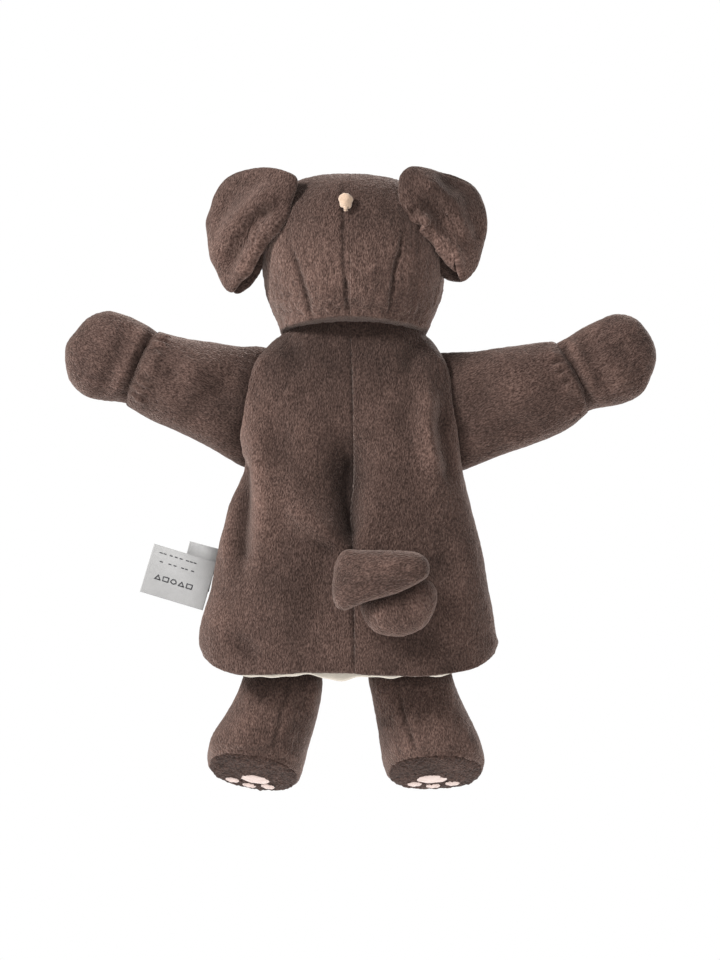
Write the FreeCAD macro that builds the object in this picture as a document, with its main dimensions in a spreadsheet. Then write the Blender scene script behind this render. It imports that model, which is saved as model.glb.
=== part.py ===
import FreeCAD, Part
import os
import Sketcher

# A soft toy puppy that is a hand puppet. Millimetres, +Z up. The puppy faces -Y, its back is
# towards +Y and its left side is +X. The origin is the middle of the hand opening at the hem.

NODES = {}

doc = FreeCAD.newDocument("puppy_hand_puppet")
sheet = doc.addObject("Spreadsheet::Sheet", "Sizes")

SIZES = [
    ("hem_width", 134.0, "skirt, side to side at the hem"),
    ("hem_depth", 50.0, "skirt, front to back at the hem"),
    ("chest_width", 98.0, "body, side to side under the arms"),
    ("chest_depth", 44.0, "body, front to back under the arms"),
    ("collar_width", 67.0, "neck edge of the body, side to side"),
    ("collar_depth", 36.0, "neck edge of the body, front to back"),
    ("collar_height", 150.0, "hem to the neck edge"),
    ("underarm_drop", 56.0, "neck edge down to the underarm"),
    ("breast_drop", 23.0, "neck edge down to the widest part of the shoulder"),
    ("breast_share", 0.96, "body at its widest shoulder, as a share of the chest"),
    ("neck_share", 0.97, "body past its neck edge, as a share of the collar"),
    ("panel_wall", 2.4, "thickness of the plush cloth"),
    ("lining_wall", 0.8, "thickness of the lining cloth"),
    ("layer_gap", 0.25, "clearance between two layers of cloth"),
    ("lining_drop", 2.0, "how far the lining shows under the hem"),
    ("loft_margin", 3.0, "how far a form runs past the pieces cut from it"),
    ("shoulder_out", 17.0, "side of the chest out to the shoulder's pivot"),
    ("shoulder_drop", 25.0, "neck edge down to the shoulder's pivot"),
    ("shoulder_radius", 23.0, "half height of the sleeve at its pivot"),
    ("shoulder_gap", 0.8, "clearance between sleeve and body"),
    ("armhole_high", 36.0, "opening into the sleeve, top to bottom"),
    ("armhole_deep", 21.0, "opening into the sleeve, front to back"),
    ("armhole_drop", 2.0, "shoulder's pivot down to the middle of the opening"),
    ("sleeve_depth", 32.0, "sleeve, front to back at its pivot"),
    ("sleeve_reach", 16.0, "pivot to the sleeve's open inner end"),
    ("sleeve_mouth_high", 30.0, "height of the sleeve's inner end"),
    ("sleeve_mouth_deep", 29.0, "depth of the sleeve's inner end"),
    ("sleeve_length", 30.0, "pivot to the wrist seam"),
    ("wrist_high", 35.0, "height of the sleeve at the wrist"),
    ("wrist_deep", 28.0, "depth of the sleeve at the wrist"),
    ("arm_rise", 19.5, "slope of the arm above level, degrees"),
    ("wrist_gap", 3.0, "sleeve end to the paw"),
    ("paw_length", 33.0, "paw, wrist to tip"),
    ("paw_high", 40.0, "paw, top to bottom"),
    ("paw_deep", 27.0, "paw, front to back"),
    ("stuffed_wall", 2.0, "cloth thickness of a stuffed piece"),
    ("head_lift", 5.5, "clearance between the neck edge and the head"),
    ("head_tall", 66.5, "head, bottom to crown"),
    ("head_width", 81.0, "head, side to side"),
    ("head_depth", 65.0, "head, front to back"),
    ("pocket_radius", 10.0, "inside radius of the finger pocket"),
    ("pocket_wall", 1.0, "thickness of the finger pocket"),
    ("pocket_drop", 4.0, "neck edge down to the open end of the finger pocket"),
    ("pocket_deep", 44.0, "depth of the finger pocket"),
    ("pocket_gap", 0.5, "clearance round the finger pocket"),
    ("muzzle_wide", 38.0, "muzzle, side to side"),
    ("muzzle_long", 38.0, "muzzle, front to back"),
    ("muzzle_high", 27.0, "muzzle, top to bottom"),
    ("muzzle_rise", 22.5, "head bottom to the middle of the muzzle"),
    ("nose_wide", 14.0, "nose, side to side"),
    ("nose_high", 9.5, "nose, top to bottom"),
    ("nose_sink", 0.25, "how far the nose is let into the muzzle, as a share of its height"),
    ("nose_rise", 0.25, "middle of the muzzle to the nose, as a share of the muzzle's height"),
    ("eye_radius", 4.2, "radius of an eye"),
    ("eye_share", 0.87, "eyes' place forward, as a share of half the head's depth"),
    ("eye_offset", 16.0, "centre plane to an eye"),
    ("eye_rise", 39.0, "head bottom to an eye"),
    ("knot_ring", 2.6, "radius of the tied loop on the crown"),
    ("knot_cord", 1.3, "radius of the cord in the loop"),
    ("knot_share", 0.84, "knot's place back, as a share of half the head's depth"),
    ("knot_rise", 0.83, "knot's height, as a share of the head's"),
    ("knot_lean", 60.0, "slope of the tied loop, degrees"),
    ("ear_out", 11.5, "side of the head out to the middle of an ear"),
    ("ear_rise", 42.5, "head bottom to the middle of an ear"),
    ("ear_wide", 27.0, "ear, side to side"),
    ("ear_long", 55.0, "ear, top to bottom"),
    ("ear_thick", 12.0, "folded ear, front to back"),
    ("hip_offset", 31.0, "centre plane to the hip"),
    ("hip_setback", 9.0, "centre plane to the hip, towards the face"),
    ("hip_drop", 13.0, "hem down to the hip's pivot"),
    ("hip_wide", 36.0, "leg, side to side at the hip"),
    ("hip_radius", 12.0, "radius of the rounded top of the leg"),
    ("shin_wide", 38.5, "leg, side to side at the shin"),
    ("shin_deep", 29.0, "leg, front to back at the shin"),
    ("ankle_wide", 41.5, "leg, side to side at the ankle"),
    ("ankle_deep", 37.0, "leg, front to back at the ankle"),
    ("shin_share", 0.35, "shin's place on the way from hip to foot"),
    ("ankle_share", 0.7, "ankle's place on the way from hip to foot"),
    ("foot_offset", 40.0, "centre plane to the middle of the foot"),
    ("foot_setback", 14.0, "centre plane to the foot, towards the face"),
    ("foot_drop", 45.5, "hem down to the middle of the foot's end"),
    ("foot_wide", 44.0, "foot, side to side"),
    ("foot_long", 43.5, "foot, heel to toe"),
    ("foot_tilt", 24.0, "slope of the sole, toe down, degrees"),
    ("sole_wall", 2.0, "thickness of the sole"),
    ("pad_thick", 1.2, "how far an embroidered pad stands out"),
    ("tail_root_offset", 3.0, "centre plane to the tail's root"),
    ("tail_root_height", 32.0, "hem to the tail's root"),
    ("tail_root_radius", 5.5, "radius of the tail's root"),
    ("tail_gap", 1.0, "clearance between the tail and the back"),
    ("tail_radius", 9.2, "radius of the tail's lower turn"),
    ("tail_tip_radius", 11.0, "radius of the tail's upper turn"),
    ("tail_low", 26.5, "hem to the lower turn"),
    ("tail_high", 43.5, "hem to the upper turn"),
    ("tail_bend", 27.0, "centre plane to the tail's bend"),
    ("tail_low_long", 36.0, "lower turn, end to end"),
    ("tail_high_long", 44.0, "upper turn, end to end"),
    ("tail_overlap", 5.0, "how far the upper turn stands behind the lower"),
    ("tail_root_share", 0.8, "length of the root, as a share of the tail's radius"),
    ("tail_start_share", 0.7, "start of the upper turn past the bend, as a share of its radius"),
    ("tail_bend_wide", 0.95, "bend, side to side, as a share of the tail's radius"),
    ("tail_bend_deep", 0.9, "bend, front to back, as a share of the tail's radius"),
    ("tail_bend_high", 0.6, "bend's height past the two turns, as a share of the radius"),
    ("label_gap", 2.0, "clearance between the side seam and a label"),
    ("label_wall", 0.6, "thickness of a folded label"),
    ("care_height", 38.0, "hem to the middle of the care label"),
    ("care_wide", 25.0, "care label, seam to free edge"),
    ("care_long", 25.0, "care label, along the seam"),
    ("side_height", 49.0, "hem to the middle of the side label"),
    ("side_wide", 10.0, "side label, seam to free edge"),
    ("side_long", 17.0, "side label, along the seam"),
    ("label_tilt", 20.0, "how far a label's free edge is raised, degrees"),
    ("label_step", 1.4, "side label to care label, front to back"),
]
# Places that follow from the sizes.
PLACES = [
    ("underarm_height", "=collar_height - underarm_drop", "hem to underarm"),
    ("breast_height", "=collar_height - breast_drop", "hem to the widest part of the shoulder"),
    ("shoulder_offset", "=chest_width / 2 + shoulder_out", "centre plane to the shoulder's pivot"),
    ("shoulder_height", "=collar_height - shoulder_drop", "hem to the shoulder's pivot"),
    ("head_base", "=collar_height + head_lift", "hem to the bottom of the head"),
    ("pocket_base", "=collar_height - pocket_drop", "hem to the open end of the finger pocket"),
    ("ear_offset", "=head_width / 2 + ear_out", "centre plane to the middle of an ear"),
]
for row, (alias, value, meaning) in enumerate(SIZES + PLACES, 1):
    sheet.set(f"A{row}", meaning)
    sheet.set(f"B{row}", str(value))
    sheet.setAlias(f"B{row}", alias)
doc.recompute()

# Shape of the head from its base to its crown: height, width and depth as shares of the
# head's own height, width and depth.
HEAD_PROFILE = [
    (0.00, 0.84, 0.59),
    (0.11, 0.95, 0.80),
    (0.27, 1.00, 0.95),
    (0.50, 0.96, 1.00),
    (0.72, 0.84, 0.91),
    (0.88, 0.62, 0.68),
    (0.97, 0.38, 0.42),
    (1.00, 0.20, 0.22),
]
# How fast a layer's inset shrinks towards the narrow crown.
CROWN_TAPER = 1.6
# Turns at which rings follow the rounded top of a leg, degrees from straight up.
HIP_TURNS = (15, 40, 65, 90)
# One large pad behind and three small ones in a row by the toe: place across, place along, half
# width and half length, as shares of the foot's width and length.
PADS = [
    (0.0, -0.10, 0.17, 0.12),
    (-0.19, -0.30, 0.08, 0.09),
    (0.0, -0.36, 0.08, 0.09),
    (0.19, -0.30, 0.08, 0.09),
]


def size(expression):
    """The expression with each spreadsheet alias written as a reference to its cell."""
    words = []
    word = ""
    for letter in expression + " ":
        if letter.isalnum() or letter == "_":
            word += letter
            continue
        if word in ALIASES:
            word = "Sizes." + word
        words.append(word + letter)
        word = ""
    return "".join(words).strip()


ALIASES = {alias for alias, value, meaning in SIZES + PLACES}


def bind(item, **expressions):
    """Ties properties of an object to the spreadsheet."""
    for name, expression in expressions.items():
        item.setExpression(name, size(str(expression)))


def place(item, x=0, y=0, z=0, axis=None, angle=None):
    """Ties an object's place, and its turn about an axis, to the spreadsheet."""
    if axis:
        item.Placement = FreeCAD.Placement(
            FreeCAD.Vector(), FreeCAD.Rotation(FreeCAD.Vector(*axis), 10)
        )
        item.setExpression("Placement.Rotation.Angle", size(str(angle)))
    for name, expression in (("x", x), ("y", y), ("z", z)):
        item.setExpression("Placement.Base." + name, size(str(expression)))
    return item


def node(item, label):
    """Marks an object as a finished piece, to be written under its label."""
    item.Label = label
    NODES[label] = item
    return item


def ring(name, wide, deep, **where):
    """An ellipse, with its long way across the object unless it is turned."""
    item = doc.addObject("Part::Ellipse", name)
    bind(item, MajorRadius=wide, MinorRadius=deep)
    return place(item, **where)


def loft(name, rings):
    """A solid through several rings."""
    item = doc.addObject("Part::Loft", name)
    item.Sections = rings
    item.Solid = True
    return item


def cut(name, base, tool):
    item = doc.addObject("Part::Cut", name)
    item.Base = base
    item.Tool = tool
    return item


def common(name, base, tool):
    item = doc.addObject("Part::Common", name)
    item.Base = base
    item.Tool = tool
    return item


def fuse(name, items):
    item = doc.addObject("Part::MultiFuse", name)
    item.Shapes = items
    return item


def box(name, low, high):
    """A box between two corners, each three expressions."""
    item = doc.addObject("Part::Box", name)
    for side, start, stop in zip(("Length", "Width", "Height"), low, high):
        item.setExpression(side, size(f"({stop}) - ({start})"))
    return place(item, *low)


def ellipsoid(name, x_radius, y_radius, z_radius, **where):
    item = doc.addObject("Part::Ellipsoid", name)
    item.Angle1 = -90
    item.Angle2 = 90
    bind(item, Radius1=z_radius, Radius2=x_radius, Radius3=y_radius)
    return place(item, **where)


def body_plane(body, role):
    for feature in body.Origin.OriginFeatures:
        if feature.Role == role:
            return feature
    raise ValueError(role)


def sketch_on(body, name, role):
    item = body.newObject("Sketcher::SketchObject", name)
    item.AttachmentSupport = (body_plane(body, role), [""])
    item.MapMode = "FlatFace"
    return item


def dimension(sketch, index, name, expression):
    sketch.renameConstraint(index, name)
    sketch.setExpression("Constraints." + name, size(expression))


def rectangle_pad(name, role, wide, tall, thick):
    """A plate from one edge at the origin, centred the other way, and padded both ways."""
    body = doc.addObject("PartDesign::Body", name)
    sketch = sketch_on(body, name + "_outline", role)
    corners = [(0, -5), (10, -5), (10, 5), (0, 5)]
    for index, corner in enumerate(corners):
        start = FreeCAD.Vector(*corner, 0)
        stop = FreeCAD.Vector(*corners[(index + 1) % 4], 0)
        sketch.addGeometry(Part.LineSegment(start, stop), False)
    for index in range(4):
        sketch.addConstraint(Sketcher.Constraint("Coincident", index, 2, (index + 1) % 4, 1))
    for index in (0, 2):
        sketch.addConstraint(Sketcher.Constraint("Horizontal", index))
    sketch.addConstraint(Sketcher.Constraint("Vertical", 1))
    sketch.addConstraint(Sketcher.Constraint("PointOnObject", 0, 1, -2))
    sketch.addConstraint(Sketcher.Constraint("Symmetric", 0, 1, 3, 1, -1, 1))
    across = sketch.addConstraint(Sketcher.Constraint("DistanceX", 0, 1, 0, 2, 10))
    dimension(sketch, across, "across", wide)
    along = sketch.addConstraint(Sketcher.Constraint("DistanceY", 1, 1, 1, 2, 10))
    dimension(sketch, along, "along", tall)
    pad = body.newObject("PartDesign::Pad", name + "_pad")
    pad.Profile = sketch
    pad.Midplane = True
    pad.setExpression("Length", size(thick))
    return body


def circle_sketch(body, name, role, radius):
    sketch = sketch_on(body, name, role)
    sketch.addGeometry(Part.Circle(FreeCAD.Vector(), FreeCAD.Vector(0, 0, 1), 5), False)
    sketch.addConstraint(Sketcher.Constraint("Coincident", 0, 3, -1, 1))
    index = sketch.addConstraint(Sketcher.Constraint("Radius", 0, 5))
    dimension(sketch, index, "radius", radius)
    return sketch


def ellipse_pad(name, wide, deep, thick):
    """A plate with an oval outline, padded down from the body's own XY plane."""
    body = doc.addObject("PartDesign::Body", name)
    sketch = sketch_on(body, name + "_outline", "XY_Plane")
    sketch.addGeometry(Part.Ellipse(FreeCAD.Vector(), 20, 15), False)
    sketch.exposeInternalGeometry(0)
    sketch.addConstraint(Sketcher.Constraint("Coincident", 0, 3, -1, 1))
    sketch.addConstraint(Sketcher.Constraint("Horizontal", 1))
    across = sketch.addConstraint(Sketcher.Constraint("Distance", 1, 40))
    dimension(sketch, across, "across", wide)
    along = sketch.addConstraint(Sketcher.Constraint("Distance", 2, 30))
    dimension(sketch, along, "along", deep)
    pad = body.newObject("PartDesign::Pad", name + "_pad")
    pad.Profile = sketch
    pad.Reversed = True
    pad.setExpression("Length", size(thick))
    return body


# The body is one bell-shaped form, hollow for the hand, and open at the hem and at the neck.
def bell(name, inset, margin="loft_margin"):
    half = [
        (f"-({margin})", "hem_width", "hem_depth"),
        ("underarm_height / 2", "(hem_width + chest_width) / 2", "(hem_depth + chest_depth) / 2"),
        ("underarm_height", "chest_width", "chest_depth"),
        ("breast_height", "chest_width * breast_share", "chest_depth * breast_share"),
        (f"collar_height + {margin}", "collar_width * neck_share", "collar_depth * neck_share"),
    ]
    rings = []
    for index, (height, wide, deep) in enumerate(half):
        rings.append(
            ring(f"{name}_{index}", f"{wide} / 2 - ({inset})", f"{deep} / 2 - ({inset})", z=height)
        )
    return loft(name, rings)


def armhole(name, side):
    """An oval opening into the sleeve, and the round notch that the sleeve's end turns in."""
    notch = doc.addObject("Part::Cylinder", name + "_notch")
    bind(notch, Radius="shoulder_radius + shoulder_gap", Height="hem_depth")
    place(
        notch,
        x=f"{side} * shoulder_offset",
        y="hem_depth / 2",
        z="shoulder_height",
        axis=(1, 0, 0),
        angle=90,
    )
    way = ellipsoid(
        name + "_way",
        "armhole_deep",
        "armhole_deep / 2",
        "armhole_high / 2",
        x=f"{side} * chest_width / 2",
        z="shoulder_height - armhole_drop",
    )
    return [notch, way]


def make_torso():
    outside = bell("panel_outside", "0")
    inside = bell("panel_inside", "panel_wall", "loft_margin + 1")
    panels = cut("panels", outside, inside)
    lining_outside = bell("lining_outside", "panel_wall + layer_gap")
    lining_inside = bell("lining_inside", "panel_wall + layer_gap + lining_wall", "loft_margin + 1")
    linings = cut("linings", lining_outside, lining_inside)
    holes = fuse("armholes", armhole("armhole_left", 1) + armhole("armhole_right", -1))
    open_panels = cut("open_panels", panels, holes)
    open_linings = cut("open_linings", linings, holes)
    left = "hem_width"
    right = "-hem_width"
    back = "hem_depth"
    front = "-hem_depth"
    pieces = [
        ("back_panel_left", open_panels, ("0", "0", "0"), (left, back, "collar_height")),
        ("back_panel_right", open_panels, (right, "0", "0"), ("0", back, "collar_height")),
        ("front_panel", open_panels, (right, front, "0"), (left, "0", "collar_height")),
        ("lining_back", open_linings, (right, "0", "-lining_drop"), (left, back, "collar_height")),
        ("lining_front", open_linings, (right, front, "-lining_drop"), (left, "0", "collar_height")),
    ]
    for label, cloth, low, high in pieces:
        node(common(label, cloth, box(label + "_region", low, high)), label)


# The finger pocket is a closed sleeve of lining that the head is held and turned on.
def make_finger_pocket():
    body = doc.addObject("PartDesign::Body", "finger_pocket")
    outer = circle_sketch(body, "pocket_outer", "XY_Plane", "pocket_radius + pocket_wall")
    pad = body.newObject("PartDesign::Pad", "pocket_pad")
    pad.Profile = outer
    pad.setExpression("Length", size("pocket_deep + pocket_wall"))
    inner = circle_sketch(body, "pocket_inner", "XY_Plane", "pocket_radius")
    pocket = body.newObject("PartDesign::Pocket", "pocket_hollow")
    pocket.Profile = inner
    pocket.Reversed = True
    pocket.setExpression("Length", size("pocket_deep"))
    place(body, z="pocket_base")
    node(body, "finger_pocket")


def head_form(name, inset):
    rings = []
    for index, (rise, wide, deep) in enumerate(HEAD_PROFILE):
        taper = min(1, wide * CROWN_TAPER)
        rings.append(
            ring(
                f"{name}_{index}",
                f"head_width / 2 * {wide} - ({inset}) * {taper}",
                f"head_depth / 2 * {deep} - ({inset}) * {taper}",
                z=f"head_base + (head_tall - ({inset})) * {rise}",
            )
        )
    return loft(name, rings)


def make_head():
    outside = head_form("head_outside", "0")
    inside = head_form("head_inside", "stuffed_wall")
    cover = cut("head_cover", outside, inside)
    reach = "head_width"
    top = "head_base + head_tall + loft_margin"
    quarters = [
        ("head_back_left", ("0", "0"), (reach, reach)),
        ("head_back_right", ("-" + reach, "0"), ("0", reach)),
        ("face_left", ("0", "-" + reach), (reach, "0")),
        ("face_right", ("-" + reach, "-" + reach), ("0", "0")),
    ]
    for label, low, high in quarters:
        region = box(label + "_region", (*low, "head_base - loft_margin"), (*high, top))
        node(common(label, cover, region), label)
    filling = head_form("head_filling", "stuffed_wall + layer_gap")
    bore = doc.addObject("Part::Cylinder", "head_bore")
    bind(
        bore,
        Radius="pocket_radius + pocket_wall + pocket_gap",
        Height="pocket_deep + pocket_wall + pocket_gap",
    )
    place(bore, z="pocket_base")
    node(cut("head_stuffing", filling, bore), "head_stuffing")
    return outside


def make_face(head):
    """Muzzle, nose and eyes: each is trimmed by what it is sewn to."""
    muzzle_height = "head_base + muzzle_rise"
    ball = ellipsoid(
        "muzzle_ball",
        "muzzle_wide / 2",
        "muzzle_long / 2",
        "muzzle_high / 2",
        y="-head_depth / 2",
        z=muzzle_height,
    )
    muzzle = node(cut("muzzle", ball, head), "muzzle")
    button = ellipsoid(
        "nose_button",
        "nose_wide / 2",
        "nose_high / 2",
        "nose_high / 2",
        y="-head_depth / 2 - muzzle_long / 2 + nose_high * nose_sink",
        z=muzzle_height + " + muzzle_high * nose_rise",
    )
    node(cut("nose", button, muzzle), "nose")
    for label, side in (("eye_left", 1), ("eye_right", -1)):
        bead = ellipsoid(
            label + "_bead",
            "eye_radius",
            "eye_radius",
            "eye_radius",
            x=f"{side} * eye_offset",
            y="-head_depth / 2 * eye_share",
            z="head_base + eye_rise",
        )
        node(cut(label, bead, head), label)


def make_knot(head):
    """A small loop of cord, tied and left standing on the seam near the crown."""
    loop = doc.addObject("Part::Torus", "knot_loop")
    loop.Angle1 = -180
    loop.Angle2 = 180
    loop.Angle3 = 360
    bind(loop, Radius1="knot_ring", Radius2="knot_cord")
    place(
        loop,
        y="head_depth / 2 * knot_share",
        z="head_base + head_tall * knot_rise",
        axis=(1, 0, 0),
        angle="knot_lean",
    )
    node(cut("cord_knot", loop, head), "cord_knot")


def make_ear(name, side):
    """A folded ear: a back layer and a front layer that meet on the middle plane."""
    whole = ellipsoid(
        f"ear_{name}_whole",
        "ear_wide / 2",
        "ear_thick / 2",
        "ear_long / 2",
        x=f"{side} * ear_offset",
        z="head_base + ear_rise",
    )
    reach = "2 * head_width"
    layers = [("back", "0", "ear_thick"), ("front", "-ear_thick", "0")]
    for layer, low, high in layers:
        label = f"ear_{name}_{layer}"
        region = box(
            label + "_region",
            ("-" + reach, low, "head_base"),
            (reach, high, "head_base + 2 * head_tall"),
        )
        node(common(label, whole, region), label)


def along_arm(side, distance):
    """A place on the arm's axis, a distance out from the shoulder's pivot."""
    return {
        "x": f"{side} * (shoulder_offset + ({distance}) * cos(arm_rise))",
        "z": f"shoulder_height + ({distance}) * sin(arm_rise)",
    }


def sleeve_form(name, side, inset, stop):
    stations = [
        ("-sleeve_reach", "sleeve_mouth_high", "sleeve_mouth_deep"),
        ("0", "2 * shoulder_radius", "sleeve_depth"),
        (stop, "wrist_high", "wrist_deep"),
    ]
    rings = []
    for index, (distance, high, deep) in enumerate(stations):
        rings.append(
            ring(
                f"{name}_{index}",
                f"{high} / 2 - ({inset})",
                f"{deep} / 2 - ({inset})",
                axis=(0, -1, 0),
                angle=f"90 + {side} * arm_rise",
                **along_arm(side, distance),
            )
        )
    return loft(name, rings)


def make_arm(name, side):
    outside = sleeve_form(f"sleeve_{name}_outside", side, "0", "sleeve_length")
    inside = sleeve_form(f"sleeve_{name}_inside", side, "panel_wall", "sleeve_length")
    node(cut(f"sleeve_{name}", outside, inside), f"sleeve_{name}")
    lining_inset = "panel_wall + layer_gap"
    lining = sleeve_form(f"finger_{name}_outside", side, lining_inset, "sleeve_length")
    hollow = sleeve_form(
        f"finger_{name}_inside",
        side,
        lining_inset + " + lining_wall",
        "sleeve_length - lining_wall",
    )
    node(cut(f"sleeve_lining_{name}", lining, hollow), f"sleeve_lining_{name}")
    middle = along_arm(side, "sleeve_length + wrist_gap + paw_length / 2")
    turn = {"axis": (0, -side, 0), "angle": "arm_rise"}
    paw = []
    for layer, inset in (
        ("outside", "0"),
        ("inside", "stuffed_wall"),
        ("filling", "stuffed_wall + layer_gap"),
    ):
        paw.append(
            ellipsoid(
                f"paw_{name}_{layer}",
                f"paw_length / 2 - ({inset})",
                f"paw_deep / 2 - ({inset})",
                f"paw_high / 2 - ({inset})",
                **middle,
                **turn,
            )
        )
    node(cut(f"paw_{name}", paw[0], paw[1]), f"paw_{name}")
    node(paw[2], f"paw_stuffing_{name}")


def leg_form(name, side, inset):
    """A leg with a rounded top, which turns on the hip, and a slanted flat end."""
    rings = []
    for turn in HIP_TURNS:
        rings.append(
            ring(
                f"{name}_hip{turn}",
                f"(hip_wide / 2 - ({inset})) * sin({turn})",
                f"(hip_radius - ({inset})) * sin({turn})",
                x=f"{side} * hip_offset",
                y="-hip_setback",
                z=f"-hip_drop + (hip_radius - ({inset})) * cos({turn})",
            )
        )
    for joint in ("shin", "ankle"):
        share = joint + "_share"
        rings.append(
            ring(
                f"{name}_{joint}",
                f"{joint}_wide / 2 - ({inset})",
                f"{joint}_deep / 2 - ({inset})",
                x=f"{side} * (hip_offset + (foot_offset - hip_offset) * {share})",
                y=f"-hip_setback - (foot_setback - hip_setback) * {share}",
                z=f"-hip_drop - (foot_drop - hip_drop) * {share}",
                axis=(1, 0, 0),
                angle=f"foot_tilt * {share}",
            )
        )
    rings.append(
        ring(
            f"{name}_foot",
            f"foot_wide / 2 - ({inset})",
            f"foot_long / 2 - ({inset})",
            x=f"{side} * foot_offset",
            y="-foot_setback",
            z=f"-foot_drop + ({inset})",
            axis=(1, 0, 0),
            angle="foot_tilt",
        )
    )
    return loft(name, rings)


def make_leg(name, side):
    outside = leg_form(f"leg_{name}_outside", side, "0")
    inside = leg_form(f"leg_{name}_inside", side, "stuffed_wall")
    node(cut(f"leg_{name}", outside, inside), f"leg_{name}")
    filling = leg_form(f"leg_{name}_filling", side, "stuffed_wall + layer_gap")
    node(filling, f"leg_stuffing_{name}")
    sole = ellipse_pad(f"sole_{name}", "foot_wide", "foot_long", "sole_wall")
    sole_place = {
        "x": f"{side} * foot_offset",
        "y": "-foot_setback",
        "z": "-foot_drop",
        "axis": (1, 0, 0),
        "angle": "foot_tilt",
    }
    place(sole, **sole_place)
    node(sole, f"sole_{name}")
    ovals = []
    for index, (across, along, wide, deep) in enumerate(PADS):
        shift = f"(foot_long * {along})"
        ovals.append(
            ellipsoid(
                f"pad_{name}_{index}",
                f"foot_wide * {wide}",
                f"foot_long * {deep}",
                "pad_thick",
                x=f"{side} * foot_offset + foot_wide * {across}",
                y=f"-foot_setback + {shift} * cos(foot_tilt) + sole_wall * sin(foot_tilt)",
                z=f"-foot_drop + {shift} * sin(foot_tilt) - sole_wall * cos(foot_tilt)",
                axis=(1, 0, 0),
                angle="foot_tilt",
            )
        )
    group = fuse(f"pads_{name}_whole", ovals)
    node(cut(f"pads_{name}", group, sole), f"pads_{name}")


def tail_form(name, inset):
    """A stuffed tube folded back on itself: a lower turn, an upper turn and the bend."""
    low_y = "hem_depth / 2 + tail_gap + tail_radius"
    lower = ellipsoid(
        name + "_lower",
        f"tail_low_long / 2 - ({inset})",
        f"tail_radius - ({inset})",
        f"tail_radius - ({inset})",
        x="-tail_bend + tail_low_long / 2 - tail_radius",
        y=low_y,
        z="tail_low",
    )
    upper = ellipsoid(
        name + "_upper",
        f"tail_high_long / 2 - ({inset})",
        f"tail_tip_radius - ({inset})",
        f"tail_tip_radius - ({inset})",
        x="-tail_bend + tail_high_long / 2 - tail_tip_radius * tail_start_share",
        y=low_y + " + tail_overlap",
        z="tail_high",
    )
    bend = ellipsoid(
        name + "_bend",
        f"tail_radius * tail_bend_wide - ({inset})",
        f"tail_radius * tail_bend_deep - ({inset})",
        f"(tail_high - tail_low) / 2 + tail_radius * tail_bend_high - ({inset})",
        x="-tail_bend",
        y=low_y + " + tail_overlap / 2",
        z="(tail_low + tail_high) / 2",
    )
    return [lower, upper, bend]


def make_tail():
    root = doc.addObject("Part::Cylinder", "tail_root")
    bind(root, Radius="tail_root_radius", Height="tail_radius * tail_root_share")
    place(
        root,
        x="-tail_root_offset - tail_root_radius",
        y="hem_depth / 2 + tail_gap + tail_radius * tail_root_share",
        z="tail_root_height",
        axis=(1, 0, 0),
        angle=90,
    )
    outside = fuse("tail_outside", tail_form("tail_outer", "0") + [root])
    inside = fuse("tail_inside", tail_form("tail_inner", "stuffed_wall"))
    node(cut("tail", outside, inside), "tail")
    filling = fuse("tail_filling", tail_form("tail_fill", "stuffed_wall + layer_gap"))
    node(filling, "tail_stuffing")


def make_label(label, wide, tall, height, y):
    """A folded label that stands out of the left side seam."""
    plate = rectangle_pad(label, "XZ_Plane", wide, tall, "label_wall")
    side = f"(hem_width - (hem_width - chest_width) * {height} / underarm_height) / 2"
    place(
        plate,
        x=f"{side} + {tall} / 2 * sin(label_tilt) + label_gap",
        y=y,
        z=height,
        axis=(0, -1, 0),
        angle="label_tilt",
    )
    node(plate, label)


make_torso()
make_finger_pocket()
head_outline = make_head()
make_face(head_outline)
make_knot(head_outline)
for side_name, side_sign in (("left", 1), ("right", -1)):
    make_ear(side_name, side_sign)
    make_arm(side_name, side_sign)
    make_leg(side_name, side_sign)
make_tail()
make_label("care_label", "care_wide", "care_long", "care_height", "0")
make_label("side_label", "side_wide", "side_long", "side_height", "-label_step")
doc.recompute()

for item in doc.Objects:
    if "Invalid" in item.State or "Error" in item.State:
        raise RuntimeError(f"{item.Label} failed: {item.State}")
os.makedirs("parts", exist_ok=True)
for label, item in NODES.items():
    shape = item.Shape
    if shape.isNull() or not shape.isValid() or not shape.Solids:
        raise RuntimeError(f"{label} has no valid solid")
    shape.exportStep(f"parts/{label}.step")
    print(label, len(shape.Solids), round(shape.Volume), shape.BoundBox)
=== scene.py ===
import math

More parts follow.
